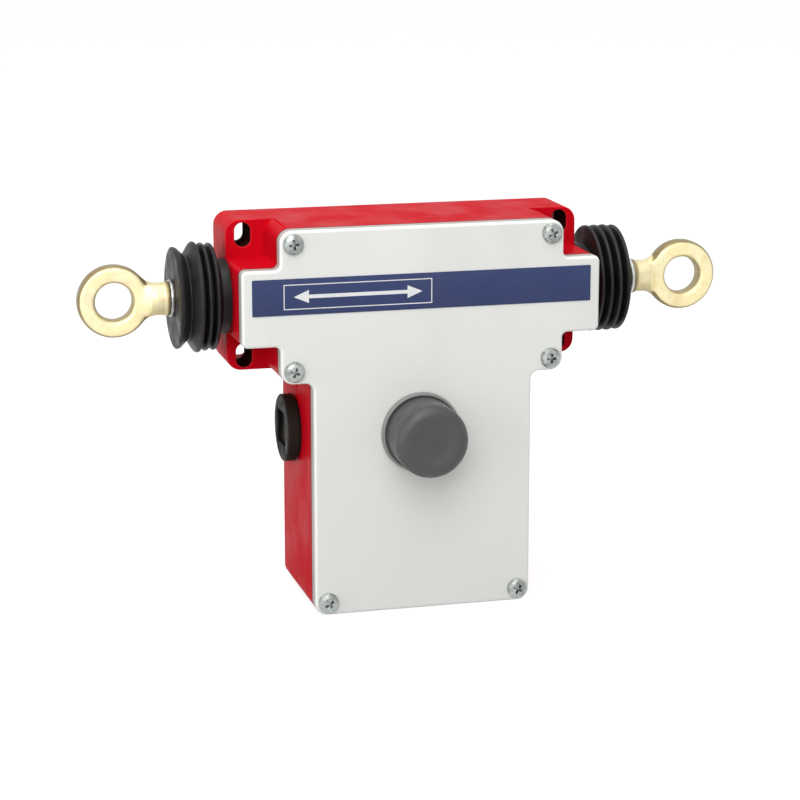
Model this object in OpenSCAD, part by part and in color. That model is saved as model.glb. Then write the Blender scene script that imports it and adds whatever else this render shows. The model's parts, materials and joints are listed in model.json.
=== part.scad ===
// Two-way rope pull switch: a T-shaped die-cast housing on a wall, with a spring-loaded pull
// rod and an eye at each end, a latch that holds a pulled rod, and a reset button in the cover.
// X runs along the ropes, +Z is up, the wall is the plane Y = 0 and the cover faces -Y.

/* [Housing] */
// Width over the two rod ends of the housing
body_w = 182; // [170:1:220]
// Width of the head, between the four ears
head_w = 144; // [138:1:150]
// Height of the head and of the ear block
head_h = 76; // [72:1:92]
// Height of the two arms that carry the rods
arm_h = 38; // [34:1:44]
// Width of the wiring box below the head
leg_w = 111.5; // [104:0.5:124]
// Length of the wiring box below the head
leg_l = 119; // [100:1:145]
// Depth from the wall to the front of the cover
body_d = 72.5; // [68:0.5:88]
// Depth of the ear block, from the wall
ear_d = 32.5; // [28:0.5:40]
// Wall of the casting
wall = 4; // [3:0.5:5]
// Outer corner radius of the head and the box
corner_r = 6.5; // [5:0.5:9]
// Corner radius of the arms
arm_corner_r = 3; // [1.5:0.5:5]
// Corner radius of the ear block
ear_corner_r = 7; // [4:0.5:9]
// Hollow fillet between the arms and the head
notch_r = 2.7; // [1:0.1:5]
// Hollow fillet between the head and the box, at the cover
lug_r = 4; // [2:0.5:8]
// Hollow fillet between the ear block and the box
flank_r = 14; // [6:1:18]

/* [Ears] */
// Width of a mounting slot
slot_w = 8; // [6:0.5:9]
// Length of a mounting slot, end to end
slot_l = 12; // [9:0.5:13]
// Wall between a slot and the end of the ear
slot_end_wall = 4.7; // [3.5:0.1:6]
// Wall between a slot and the top or bottom of the ear
slot_top_wall = 1.5; // [1.5:0.1:4]
// Depth of the hollow behind each ear, from the wall
ear_hollow_d = 12; // [4:0.5:20]

/* [Cover] */
// Thickness of the cover
cover_t = 7; // [5:0.5:9]
// Thickness of the gasket under the cover
gasket_t = 1; // [0.5:0.1:2]
// Distance of the cover screws from the cover's edges
screw_in = 6.5; // [6:0.5:8]
// Thread diameter of the cover screws
screw_d = 5; // [4:0.5:6]
// Head diameter of the cover screws
screw_head_d = 10.2; // [8:0.2:12]
// Head height of the cover screws
screw_head_h = 3; // [2:0.5:4]
// Height of the blue band on the cover
band_h = 17.9; // [10:0.1:24]
// Height of the band's middle above the rod axis
band_z = 5.7; // [0:0.1:7]
// Margin between the band and the ends of the arms
band_margin = 5; // [3:0.5:12]
// Thickness of the band
band_t = 0.4; // [0.3:0.1:1]

/* [Pull rods] */
// Distance of the rod axis from the wall
axis_d = 30.5; // [28:0.5:36]
// Diameter of the pull rods
rod_d = 16; // [13:0.5:17]
// How far the left rod stands out of its arm
left_out = 27; // [26:0.5:34]
// How far the right rod stands out of its arm
right_out = 29.5; // [26:0.5:34]
// Travel of each rod under a pull
pull_travel = 12; // [8:0.5:14]
// Radial clearance of the running fits
running_fit = 0.05; // [0.02:0.01:0.1]

/* [Eyes] */
// Outer diameter of an eye
eye_d = 36; // [30:1:44]
// Diameter of the hole in an eye
eye_hole_d = 18.6; // [14:0.2:22]
// Thickness of an eye
eye_t = 9.5; // [8:0.5:12]
// Distance from the neck's shoulder to the middle of the eye
eye_reach = 27.5; // [24:0.5:34]
// Diameter of the neck
neck_d = 16.6; // [14:0.2:18]

/* [Boots] */
// Outer diameter of the boot folds
fold_d = 54.6; // [50:0.2:56]
// Diameter at the bottom of the folds
fold_root_d = 42; // [36:1:46]
// Pitch of the closed folds
fold_pitch = 4.7; // [4.2:0.1:5]
// Diameter of the boot's fixing ring
boot_ring_d = 37.6; // [36:0.2:40]

/* [Reset button] */
// Sideways place of the button on the cover
button_x = -1.8; // [-6:0.1:6]
// Height of the button below the rod axis
button_z = -65.2; // [-80:0.1:-63]
// Diameter of the button's cap
cap_d = 36.4; // [28:0.2:38]
// Diameter of the ring round the cap
bezel_d = 40.4; // [38:0.2:44]
// How far the cap stands out from the cover
cap_out = 26.5; // [18:0.5:30]
// Travel of the button
press_travel = 3; // [2:0.5:3.5]

/* [Cable entries] */
// Distance of the entries from the wall
entry_d = 28; // [24:0.5:38]
// Height of the entries below the rod axis
entry_z = -70; // [-90:1:-64]
// Nominal diameter of the entry thread
entry_thread_d = 20; // [16:0.5:25]
// Flange diameter of the blanking plugs
plug_d = 34.4; // [30:0.2:38]
// Thickness of a plug's flange
plug_t = 6; // [3:0.5:8]

/* [Hidden] */
$fn = 48;

// Colours
red = "#b9141c";
pale_grey = "#dcdcd6";
blue = "#48506f";
steel = "#b4b6b8";
zinc = "#e6cf8c";
black = "#1c1c1c";
dark_grey = "#555555";
mid_grey = "#8b8b88";
bronze = "#a8813c";

// Small gaps
seat = 0.02;      // between fixed pieces that fill each other's holes
near = 0.3;       // between pieces that touch in use
cut = 1;          // how far a cutting shape runs past a face

// The housing's planes
arm_x = body_w / 2;
head_x = head_w / 2;
leg_x = leg_w / 2;
head_z = head_h / 2;
arm_z = arm_h / 2;
leg_z = -head_z - leg_l;
front_y = -body_d;
cover_y = front_y + cover_t;
rim_y = cover_y + gasket_t;
ear_y = -ear_d;
axis_y = -axis_d;
boss_r = screw_d / 2 + 3;
screw_grip = 16;
screw_play = 0.25;
cover_hollow = 3;
hollow_margin = 2;
m3_r = 1.5;
m4_r = 2;

// Cover screws, left and right of the middle
cover_screw_places = [for (s = [-1, 1]) each [
    [s * (head_x - screw_in), head_z - screw_in],
    [s * (head_x - screw_in), -head_z + screw_in],
    [s * (leg_x - screw_in), leg_z + screw_in]]];

// Mounting slots, and the hollows behind them
slot_x = arm_x - slot_end_wall - slot_w / 2;
slot_z = head_z - slot_top_wall - slot_l / 2;
hollow_end_wall = 3;
hollow_top_wall = 1.2;
hollow_w = 13.5;
hollow_h = 15.5;
hollow_r = 4;
hollow_x = arm_x - hollow_end_wall - hollow_w / 2;
hollow_z = head_z - hollow_top_wall - hollow_h / 2;

// Cable entries
entry_y = -entry_d;
entry_boss_t = 8;
entry_boss_r = entry_thread_d / 2 + 4;
plug_seal_t = 1;
plug_core_r = entry_thread_d / 2 - 0.1;
plug_core_l = 9;
plug_chamfer = 1;
plug_bite = 0.5;      // how far the core runs into the flange
socket_w = 17;
socket_depth = 2;

// Along the rod, for the right side
bush_l = 11;
bush_in = arm_x - bush_l;
bush_r = rod_d / 2 + 4;
bush_boss_r = arm_z - wall - 0.5;
bush_flange_r = bush_r + 4;
bush_flange_t = 3;
boot_ring_l = 4.5;
boot_ring_lip = 1.4;
boot_x = arm_x + boot_ring_l;
plate_t = 2.5;
nut_t = 8;
nut_in = 28;
plate_x = nut_in + nut_t;
spring_wire = 2.5;
spring_r = rod_d / 2 + 4;
plate_r = spring_r + spring_wire / 2 + 0.35;
nut_r = rod_d / 2 + 5;
spring_turns = 8;
rod_in = 2.5;
left_reach = arm_x + left_out;
right_reach = arm_x + right_out;
cam_in = 3;
cam_out = 20.5;
cam_slope = 0.2;
plunger_x = 16;
cam_mid_r = rod_d / 2 + 2.5;
washer_t = 1.5;
washer_r = rod_d / 2 + 1.3;
shank_r = 5;
shank_l = 18;
eye_edge_r = 2.8;
neck_bite = 1.5;      // how far the straight neck runs into the ring
neck_taper_l = 3.5;
neck_taper_r = 3.2;
collar_l = 1.5;
collar_out = 0.5;

// Rubber of the boots
crest_half = 0.9;     // half the width of a crest
groove_half = 0.3;    // half the width of the groove after it
crest_wall = 3;
groove_wall = 1.4;
boot_foot = 0.6;      // gap round the bush inside the boot's foot
boot_lip_l = 3.5;
boot_lip_t = 2.5;
boot_end_t = 1.9;
left_stretch = 10;    // from the third crest to the far crest of the left boot

// The guide of the reset stem, and the lever behind it
guide_back = cover_y + 7.5;
lever_back = guide_back + 10.5;
lever_t = 2;
barrel_r = 3.5;
pivot_y = lever_back - barrel_r;

// Contact blocks on the bracket
plate_y = -14;
bracket_t = 2;
block_in = 3.5;
block_w = 26;
block_screw_head = 2;
block_d = plate_y - lever_back - block_screw_head - 1.5;
block_top = -18;
block_h = 38;
plunger_r = 3;
plunger_l = 14;
terminal_r = 3;
terminal_x = 7;
terminal_z = 9;
cheek_in = block_in + block_w + 1.1;
block_mid = block_in + block_w / 2;
block_screw_places = [[block_mid + 9.5, block_top - 4], [block_mid, block_top - block_h + 4]];
terminal_sink = 3;
terminal_screw_l = 6;
funnel_w = 4;
funnel_h = 8;
plunger_tip_z = -cam_mid_r - (plunger_r + near) / cos(atan(cam_slope));
bracket_half = 34;
bracket_margin = 7;
bracket_post_x = 26;
bracket_posts_z = [-66, 20];
post_r = 5;
cheek_h = 12;

// Latch lever
pivot_z = -40;
pin_r = 2;
lever_half = cheek_in - near;
tooth_in = 5;
tooth_w = 7;
tooth_h = 5;
tongue_w = 12;
tongue_below = 7;     // how far the tongue reaches below the stem
lever_h = 10;
pin_end = cheek_in + bracket_t + 2.5;
clip_t = 0.8;

// Reset button
seal_t = 0.7;
bezel_h = 2.7;
bezel_front = front_y - seal_t - bezel_h;
neck_r = 15;
stem_r = 6;
cap_front = front_y - cap_out;
cap_r = cap_d / 2;
cap_gap = 1.5;
cap_back = bezel_front - cap_gap;
cap_floor = cap_front + 5;
guide_t = 4;
nose_r = 3;
nose_y = lever_back - lever_t - near - nose_r;
bezel_nut_t = 5;
bezel_nut_r = 19.5;
bezel_chamfer = 0.8;
neck_play = 0.2;
cap_wall = 2.4;
cap_edge_r = 2;
dish_r = 70;
dish_depth = 0.9;
cap_play = 0.5;
groove_depth = 1;
reset_spring_r = 8;
reset_wire = 1.2;
reset_turns = 6;

// Inner fittings of the wiring box
earth_x = 20;
earth_z = leg_z + 22;
earth_boss_r = 6;
earth_boss_h = 6;
clamp_w = 10;
clamp_t = 2;
clamp_front = -wall - earth_boss_h - clamp_t;
post_l = -plate_y - bracket_t - wall;

// ---- Shapes that repeat ----

// A plan in X and Z, as thick as the stretch of Y from y0 (front) to y1 (back)
module slab(y0, y1) {
    translate([0, y1, 0]) rotate([90, 0, 0]) linear_extrude(y1 - y0) children();
}

// A rectangle with round corners, centred
module round_rect(w, h, r) {
    square([w - 2 * r, h], center = true);
    square([w, h - 2 * r], center = true);
    for (x = [-1, 1], z = [-1, 1])
        translate([x * (w / 2 - r), z * (h / 2 - r)]) circle(r);
}

// The hollow fillet that fills an inner corner at (x, z), open towards (sx, sz)
module cove(x, z, sx, sz, r) {
    translate([x, z]) difference() {
        translate([sx > 0 ? -0.5 : -r, sz > 0 ? -0.5 : -r]) square(r + 0.5);
        translate([sx * r, sz * r]) circle(r);
    }
}

// Things on both sides of the middle
module both_sides() {
    children();
    mirror([1, 0, 0]) children();
}

module on_side(side) {
    if (side < 0) mirror([1, 0, 0]) children();
    else children();
}

// A cylinder along X, on the rod axis
module rod_cylinder(x0, x1, r) {
    translate([x0, axis_y, 0]) rotate([0, 90, 0]) cylinder(h = x1 - x0, r = r);
}

// A turned shape on the rod axis: its plan is (radius, X)
module turned_on_rod() {
    translate([0, axis_y, 0]) rotate([0, 90, 0]) rotate_extrude() children();
}

// A cylinder along Y at (x, z), from y0 (front) to y1 (back)
module deep_cylinder(x, z, y0, y1, r) {
    translate([x, y1, z]) rotate([90, 0, 0]) cylinder(h = y1 - y0, r = r);
}

// A coil spring along +Z from z = 0, swept as rings of eight points
module coil(r, wire, length, turns) {
    steps = 20;
    rings = turns * steps;
    rise = (length - wire) / rings;
    points = [for (i = [0:rings]) for (k = [0:7])
        let (a = i * 360 / steps, b = k * 45, q = r + wire / 2 * cos(b))
            [q * cos(a), q * sin(a), wire / 2 + i * rise + wire / 2 * sin(b)]];
    sides = [for (i = [0:rings - 1]) for (k = [0:7])
        let (j = (k + 1) % 8) [i * 8 + k, i * 8 + j, i * 8 + 8 + j, i * 8 + 8 + k]];
    polyhedron(points, concat([[7, 6, 5, 4, 3, 2, 1, 0]], sides,
        [[for (k = [0:7]) rings * 8 + k]]), convexity = 8);
}

// A screw along Y: its head stands in front of the plane y, its thread goes back
module screw(x, z, y, head_r, head_h, thread_r, thread_l) {
    difference() {
        union() {
            deep_cylinder(x, z, y - head_h * 0.6, y, head_r);
            translate([x, y - head_h * 0.6, z]) rotate([90, 0, 0])
                cylinder(h = head_h * 0.4, r1 = head_r, r2 = head_r * 0.72);
            deep_cylinder(x, z, y - seat, y + thread_l, thread_r);
        }
        for (turn = [0, 90])
            translate([x, y - head_h, z]) rotate([0, turn, 0])
                cube([head_r * 1.1, head_h, head_r * 0.22], center = true);
    }
}

// ---- Plans of the housing ----

module head_and_arms() {
    round_rect(head_w, head_h, corner_r);
    round_rect(body_w, arm_h, arm_corner_r);
    for (sx = [-1, 1], sz = [-1, 1]) cove(sx * head_x, sz * arm_z, sx, sz, notch_r);
}

module box_plan() {
    translate([0, (leg_z + corner_r) / 2]) square([leg_w, -leg_z - corner_r], center = true);
    translate([0, leg_z / 2]) square([leg_w - 2 * corner_r, -leg_z], center = true);
    for (x = [-1, 1]) translate([x * (leg_x - corner_r), leg_z + corner_r]) circle(corner_r);
}

module front_plan() {
    head_and_arms();
    box_plan();
    for (sx = [-1, 1]) cove(sx * leg_x, -head_z, sx, -1, lug_r);
}

module ear_plan() {
    round_rect(body_w, head_h, ear_corner_r);
    box_plan();
    for (sx = [-1, 1]) cove(sx * leg_x, -head_z, sx, -1, flank_r);
}

// The hollow inside the walls, less the bosses of the cover screws
module cavity_plan() {
    difference() {
        union() {
            square([head_w - 2 * wall, head_h - 2 * wall], center = true);
            square([body_w - 2 * wall, arm_h - 2 * wall], center = true);
            translate([-leg_x + wall, leg_z + wall]) square([leg_w - 2 * wall, -leg_z - wall]);
        }
        for (p = cover_screw_places) {
            translate(p) circle(boss_r);
            translate([p[0] > 0 ? p[0] : p[0] - corner_r - 1, p[1] - boss_r])
                square([corner_r + 1, 2 * boss_r]);
            translate([p[0] - boss_r, p[1] > -head_z + screw_in + 1 ? p[1] : p[1] - corner_r - 1])
                square([2 * boss_r, corner_r + 1]);
        }
    }
}

// ---- Housing and cover ----

module housing() {
    color(red) difference() {
        union() {
            difference() {
                union() {
                    slab(rim_y, ear_y + cut) front_plan();
                    slab(ear_y, 0) ear_plan();
                }
                slab(rim_y - cut, -wall) cavity_plan();
            }
            both_sides() {
                rod_cylinder(bush_in, arm_x - wall + cut, bush_boss_r);
                translate([leg_x - entry_boss_t, entry_y, entry_z]) rotate([0, 90, 0])
                    cylinder(h = entry_boss_t - wall + cut, r = entry_boss_r);
            }
            for (x = [-1, 1], z = bracket_posts_z)
                deep_cylinder(x * bracket_post_x, z, -wall - post_l, -wall + cut, post_r);
            deep_cylinder(earth_x, earth_z, -wall - earth_boss_h, -wall + cut, earth_boss_r);
        }
        both_sides() {
            for (z = [-1, 1]) {
                slab(ear_y - cut, cut) translate([slot_x, z * slot_z]) mounting_slot();
                slab(-ear_hollow_d, cut) translate([hollow_x, z * hollow_z])
                    round_rect(hollow_w, hollow_h, hollow_r);
            }
            rod_cylinder(bush_in - cut, arm_x + cut, bush_r + seat);
            translate([leg_x - entry_boss_t - cut, entry_y, entry_z]) rotate([0, 90, 0])
                cylinder(h = entry_boss_t + 2 * cut, r = entry_thread_d / 2);
        }
        for (p = cover_screw_places)
            deep_cylinder(p[0], p[1], rim_y - cut, rim_y + screw_grip + cut, screw_d / 2 + seat);
        for (x = [-1, 1], z = bracket_posts_z)
            deep_cylinder(x * bracket_post_x, z, -wall - post_l - cut, -wall, m4_r + seat);
        deep_cylinder(earth_x, earth_z, -wall - earth_boss_h - cut, -wall, m4_r + seat);
    }
}

module mounting_slot() {
    square([slot_w, slot_l - slot_w], center = true);
    for (z = [-1, 1]) translate([0, z * (slot_l - slot_w) / 2]) circle(slot_w / 2);
}

module front_cover() {
    color(pale_grey) difference() {
        slab(front_y, cover_y) front_plan();
        for (p = cover_screw_places)
            deep_cylinder(p[0], p[1], front_y - cut, cover_y + cut, screw_d / 2 + screw_play);
        deep_cylinder(button_x, button_z, front_y - cut, cover_y + cut, neck_r + neck_play);
        // The back is hollowed inside its rim
        slab(cover_y - cover_hollow, cover_y + cut) intersection() {
            cavity_plan();
            translate([0, (leg_z + head_z) / 2])
                square([leg_w - 2 * wall - 2 * hollow_margin, head_z - leg_z], center = true);
        }
    }
}

module cover_gasket() {
    color(black) difference() {
        slab(cover_y, rim_y) front_plan();
        slab(cover_y - cut, rim_y + cut) cavity_plan();
        for (p = cover_screw_places)
            deep_cylinder(p[0], p[1], cover_y - cut, rim_y + cut, screw_d / 2 + screw_play);
    }
}

module cover_screws() {
    color(steel) for (p = cover_screw_places)
        screw(p[0], p[1], front_y, screw_head_d / 2, screw_head_h, screw_d / 2,
            cover_t + gasket_t + screw_grip);
}

module name_band() {
    color(blue) translate([-arm_x + band_margin, front_y - band_t, band_z - band_h / 2])
        cube([body_w - 2 * band_margin, band_t, band_h]);
}

// ---- Cable entries ----

module entry_plug() {
    color(black) difference() {
        translate([0, entry_y, entry_z]) rotate([0, 90, 0]) union() {
            translate([0, 0, leg_x + plug_seal_t]) cylinder(h = plug_t - plug_chamfer, r = plug_d / 2);
            translate([0, 0, leg_x + plug_seal_t + plug_t - plug_chamfer])
                cylinder(h = plug_chamfer, r1 = plug_d / 2, r2 = plug_d / 2 - plug_chamfer);
            translate([0, 0, leg_x - plug_core_l])
                cylinder(h = plug_core_l + plug_seal_t + plug_bite, r = plug_core_r);
        }
        // A square socket for the driver
        translate([leg_x + plug_seal_t + plug_t, entry_y, entry_z])
            cube([2 * socket_depth, socket_w, socket_w], center = true);
    }
}

module plug_seal() {
    color(dark_grey) translate([leg_x, entry_y, entry_z]) rotate([0, 90, 0]) difference() {
        cylinder(h = plug_seal_t, r = plug_d / 2 - 2);
        translate([0, 0, -cut]) cylinder(h = plug_seal_t + 2 * cut, r = entry_thread_d / 2 + 0.1);
    }
}

// ---- Along each rod ----

module guide_bush() {
    color(bronze) difference() {
        union() {
            rod_cylinder(bush_in, arm_x + cut, bush_r);
            rod_cylinder(arm_x, arm_x + bush_flange_t, bush_flange_r);
        }
        rod_cylinder(bush_in - cut, arm_x + bush_flange_t + cut, rod_d / 2 + running_fit);
    }
}

module boot_ring() {
    color(black) difference() {
        rod_cylinder(arm_x, boot_x, boot_ring_d / 2);
        rod_cylinder(arm_x - cut, boot_x - boot_ring_lip, bush_flange_r + seat);
        rod_cylinder(arm_x - cut, boot_x + cut, bush_r + near);
    }
}

// A rubber bellows: crests is where each fold's crest stands, radii is how far out, roots is
// the radius of the grooves between them
module boot(crests, radii, roots, end_x) {
    last = len(crests) - 1;
    grooves = [for (i = [0:last - 1]) (crests[i] + crests[i + 1]) / 2];
    outer = [for (i = [0:last]) each [
        [radii[i], crests[i] - crest_half], [radii[i], crests[i] + crest_half],
        if (i < last) each [[roots[i], grooves[i] - groove_half], [roots[i], grooves[i] + groove_half]]]];
    inner = [for (i = [last - 1:-1:0]) each [
        [roots[i] - groove_wall, grooves[i] + 1], [roots[i] - groove_wall, grooves[i] - 1],
        [radii[i] - crest_wall, crests[i] + 0.1], [radii[i] - crest_wall, crests[i] - 0.1]]];
    lip_r = rod_d / 2 + near;
    foot_r = boot_ring_d / 2 - 1;
    color(black) turned_on_rod() polygon(concat(
        [[bush_r + boot_foot, boot_x], [foot_r, boot_x], [foot_r, boot_x + 0.9]],
        outer,
        [[radii[last] - 4, end_x], [lip_r, end_x], [lip_r, end_x - boot_lip_l],
            [lip_r + boot_lip_t, end_x - boot_lip_l], [lip_r + boot_lip_t + 1, end_x - boot_end_t],
            [radii[last] - crest_wall, end_x - boot_end_t]],
        inner,
        [[foot_r - 2, boot_x + 2.2], [bush_r + boot_foot, boot_x + 2.2]]));
}

left_crests = [for (i = [0:2]) boot_x + 3.2 + i * (fold_pitch - 0.7)];

module left_boot() {
    r = fold_d / 2;
    on_side(-1) boot(concat(left_crests, [left_crests[2] + left_stretch]),
        [r - 0.6, r - 0.4, r + 0.3, r - 2],
        [fold_root_d / 2, fold_root_d / 2, fold_root_d / 2 + 0.5], left_reach - 0.5);
}

module right_boot() {
    r = fold_d / 2;
    on_side(1) boot([for (i = [0:3]) boot_x + 3 + i * fold_pitch], [r, r, r, r - 0.3],
        [for (i = [0:2]) fold_root_d / 2], boot_x + 3 + 3 * fold_pitch + 1.3);
}

module pull_rod(reach) {
    color(steel) difference() {
        rod_cylinder(rod_in, reach, rod_d / 2);
        rod_cylinder(reach - shank_l - 1, reach + cut, shank_r + running_fit);
    }
}

module eye_washer(reach) {
    color(steel) difference() {
        rod_cylinder(reach, reach + washer_t, washer_r);
        rod_cylinder(reach - cut, reach + washer_t + cut, shank_r + 0.2);
    }
}

module eye_bolt(reach) {
    shoulder = reach + washer_t + near / 3;
    middle = shoulder + eye_reach;
    ring_w = (eye_d - eye_hole_d) / 2;
    neck_end = middle - eye_d / 2 + neck_bite;
    color(zinc) {
        translate([middle, axis_y, 0]) rotate([90, 0, 0]) rotate_extrude()
            translate([eye_hole_d / 2 + ring_w / 2, 0]) round_rect(ring_w, eye_t, eye_edge_r);
        difference() {
            union() {
                rod_cylinder(shoulder, neck_end, neck_d / 2);
                translate([neck_end, axis_y, 0]) rotate([0, 90, 0])
                    cylinder(h = neck_taper_l, r1 = neck_d / 2, r2 = neck_d / 2 - neck_taper_r);
            }
            deep_cylinder(middle, 0, axis_y - eye_d, axis_y + eye_d, eye_hole_d / 2 + 1);
        }
        rod_cylinder(shoulder, shoulder + collar_l, neck_d / 2 + collar_out);
        rod_cylinder(reach - shank_l, shoulder + cut, shank_r);
    }
}

module rod_spring() {
    gap = near / 2;
    x0 = plate_x + plate_t + gap;
    color(steel) translate([x0, axis_y, 0]) rotate([0, 90, 0])
        coil(spring_r, spring_wire, bush_in - gap - x0, spring_turns);
}

module spring_plate() {
    color(steel) difference() {
        rod_cylinder(plate_x, plate_x + plate_t, plate_r);
        rod_cylinder(plate_x - cut, plate_x + plate_t + cut, rod_d / 2 + seat);
    }
}

module adjusting_nut() {
    color(steel) difference() {
        translate([nut_in, axis_y, 0]) rotate([0, 90, 0]) cylinder(h = nut_t, r = nut_r, $fn = 6);
        rod_cylinder(nut_in - cut, nut_in + nut_t + cut, rod_d / 2 + seat);
    }
}

// A cone: its radius falls outwards, so that a pull drives the plunger down
module cam() {
    color(steel) difference() {
        translate([cam_in, axis_y, 0]) rotate([0, 90, 0])
            cylinder(h = cam_out - cam_in, r1 = cam_mid_r + cam_slope * (plunger_x - cam_in),
                r2 = cam_mid_r - cam_slope * (cam_out - plunger_x));
        rod_cylinder(cam_in - cut, cam_out + cut, rod_d / 2 + seat);
    }
}

// ---- Contacts ----

module plunger() {
    color(black) {
        translate([plunger_x, axis_y, plunger_tip_z]) sphere(plunger_r);
        translate([plunger_x, axis_y, plunger_tip_z - plunger_l]) cylinder(h = plunger_l, r = plunger_r);
    }
}

// The places of the terminals on a block
module at_terminals() {
    for (x = [-1, 1], z = [-1, 1])
        translate([block_mid + x * terminal_x, 0, block_top - block_h / 2 + z * terminal_z]) children();
}

module contact_block() {
    block_front = plate_y - block_d;
    color(mid_grey) difference() {
        translate([block_in, block_front, block_top - block_h]) cube([block_w, block_d, block_h]);
        translate([plunger_x, axis_y, plunger_tip_z - plunger_l - pull_travel * cam_slope - 1])
            cylinder(h = block_h, r = plunger_r + running_fit);
        at_terminals() {
            deep_cylinder(0, 0, block_front - cut, block_front + terminal_sink, terminal_r + near);
            deep_cylinder(0, 0, block_front, block_front + terminal_sink + terminal_screw_l, m3_r + seat);
        }
        // Open wire funnels below the terminals
        for (x = [-1, 1])
            translate([block_mid + x * terminal_x - funnel_w / 2, block_front + funnel_w,
                block_top - block_h - cut])
                cube([funnel_w, funnel_w, funnel_h + cut]);
        for (p = block_screw_places)
            deep_cylinder(p[0], p[1], block_front - cut, plate_y + cut, m3_r + 0.1);
    }
}

module block_screws() {
    color(steel) both_sides() for (p = block_screw_places)
        screw(p[0], p[1], plate_y - block_d, 2.8, block_screw_head, m3_r, block_d + bracket_t);
}

module terminal_screws() {
    color(steel) both_sides() at_terminals()
        screw(0, 0, plate_y - block_d + terminal_sink, terminal_r, 2, m3_r, terminal_screw_l - 1);
}

// ---- Bracket and latch ----

module mechanism_bracket() {
    color(steel) difference() {
        union() {
            translate([-bracket_half, plate_y, bracket_posts_z[0] - bracket_margin])
                cube([2 * bracket_half, bracket_t,
                    bracket_posts_z[1] - bracket_posts_z[0] + 2 * bracket_margin]);
            both_sides() translate([cheek_in, pivot_y - pin_r - 2, pivot_z - cheek_h / 2])
                cube([bracket_t, plate_y - pivot_y + pin_r + 2 + cut, cheek_h]);
        }
        for (x = [-1, 1], z = bracket_posts_z)
            deep_cylinder(x * bracket_post_x, z, plate_y - cut, plate_y + bracket_t + cut, m4_r + 0.2);
        both_sides() for (p = block_screw_places)
            deep_cylinder(p[0], p[1], plate_y - cut, plate_y + bracket_t + cut, m3_r + seat);
        translate([-pin_end, pivot_y, pivot_z]) rotate([0, 90, 0])
            cylinder(h = 2 * pin_end, r = pin_r + seat);
    }
}

module bracket_screws() {
    color(steel) for (x = [-1, 1], z = bracket_posts_z)
        screw(x * bracket_post_x, z, plate_y, 3.8, 2.5, m4_r, 9);
}

module latch_lever() {
    front = lever_back - lever_t;
    tooth_tip = axis_y - cam_mid_r - cam_slope * (plunger_x - cam_in) - near;
    color(steel) difference() {
        union() {
            // Hinge barrel and cross plate
            translate([-lever_half, pivot_y, pivot_z]) rotate([0, 90, 0])
                cylinder(h = 2 * lever_half, r = barrel_r);
            translate([-lever_half, front, pivot_z - lever_h / 2])
                cube([2 * lever_half, lever_t, lever_h]);
            // Tongue behind the reset stem
            translate([button_x - tongue_w / 2, front, button_z - tongue_below])
                cube([tongue_w, lever_t, pivot_z - lever_h / 2 + tongue_below - button_z + cut]);
            // Two fingers with teeth behind the cams
            both_sides() {
                translate([tooth_in, front, pivot_z]) cube([tooth_w, lever_t, tooth_h / 2 - pivot_z]);
                translate([tooth_in, front, -tooth_h / 2]) cube([tooth_w, tooth_tip - front, tooth_h]);
            }
        }
        translate([-lever_half - cut, pivot_y, pivot_z]) rotate([0, 90, 0])
            cylinder(h = 2 * lever_half + 2 * cut, r = pin_r + running_fit);
    }
}

module latch_pin() {
    color(steel) translate([-pin_end, pivot_y, pivot_z]) rotate([0, 90, 0])
        cylinder(h = 2 * pin_end, r = pin_r);
}

module pin_clips() {
    color(dark_grey) both_sides() translate([cheek_in + bracket_t, pivot_y, pivot_z]) rotate([0, 90, 0])
        difference() {
            cylinder(h = clip_t, r = pin_r + 2);
            translate([0, 0, -cut]) cylinder(h = clip_t + 2 * cut, r = pin_r + seat);
            translate([0, -clip_t, -cut]) cube([pin_r + 4, 2 * clip_t, clip_t + 2 * cut]);
        }
}

// ---- Reset button ----

module button_bezel() {
    color(mid_grey) difference() {
        union() {
            deep_cylinder(button_x, button_z, bezel_front + bezel_chamfer, front_y - seal_t, bezel_d / 2);
            translate([button_x, bezel_front + bezel_chamfer, button_z]) rotate([90, 0, 0])
                cylinder(h = bezel_chamfer, r1 = bezel_d / 2, r2 = bezel_d / 2 - bezel_chamfer);
            deep_cylinder(button_x, button_z, front_y - seal_t - 0.5, guide_back, neck_r);
        }
        // The cap sinks into the ring
        deep_cylinder(button_x, button_z, bezel_front - cut, cap_back + press_travel + near,
            cap_r + cap_play);
        deep_cylinder(button_x, button_z, bezel_front - cut, guide_back - guide_t, reset_spring_r + 2);
        deep_cylinder(button_x, button_z, bezel_front - cut, guide_back + cut, stem_r + running_fit);
    }
}

module bezel_seal() {
    color(black) difference() {
        deep_cylinder(button_x, button_z, front_y - seal_t, front_y, bezel_d / 2 - 0.6);
        deep_cylinder(button_x, button_z, front_y - seal_t - cut, front_y + cut, neck_r + 0.1);
    }
}

module bezel_nut() {
    nut_front = cover_y - cover_hollow;
    color(steel) difference() {
        translate([button_x, nut_front + bezel_nut_t, button_z]) rotate([90, 0, 0])
            cylinder(h = bezel_nut_t, r = bezel_nut_r, $fn = 6);
        deep_cylinder(button_x, button_z, nut_front - cut, nut_front + bezel_nut_t + cut, neck_r + seat);
    }
}

module button_cap() {
    color(dark_grey) difference() {
        union() {
            deep_cylinder(button_x, button_z, cap_front + cap_edge_r, cap_back, cap_r);
            translate([button_x, cap_front + cap_edge_r, button_z]) rotate([90, 0, 0]) rotate_extrude() {
                square([cap_r - cap_edge_r, cap_edge_r]);
                intersection() {
                    translate([cap_r - cap_edge_r, 0]) circle(cap_edge_r);
                    square([cap_r, cap_edge_r]);
                }
            }
        }
        // A shallow dish in the front, and the hollow round the stem
        translate([button_x, cap_front + dish_depth - dish_r, button_z]) sphere(dish_r, $fn = 96);
        deep_cylinder(button_x, button_z, cap_floor, cap_back + cut, cap_r - cap_wall);
    }
}

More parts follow.
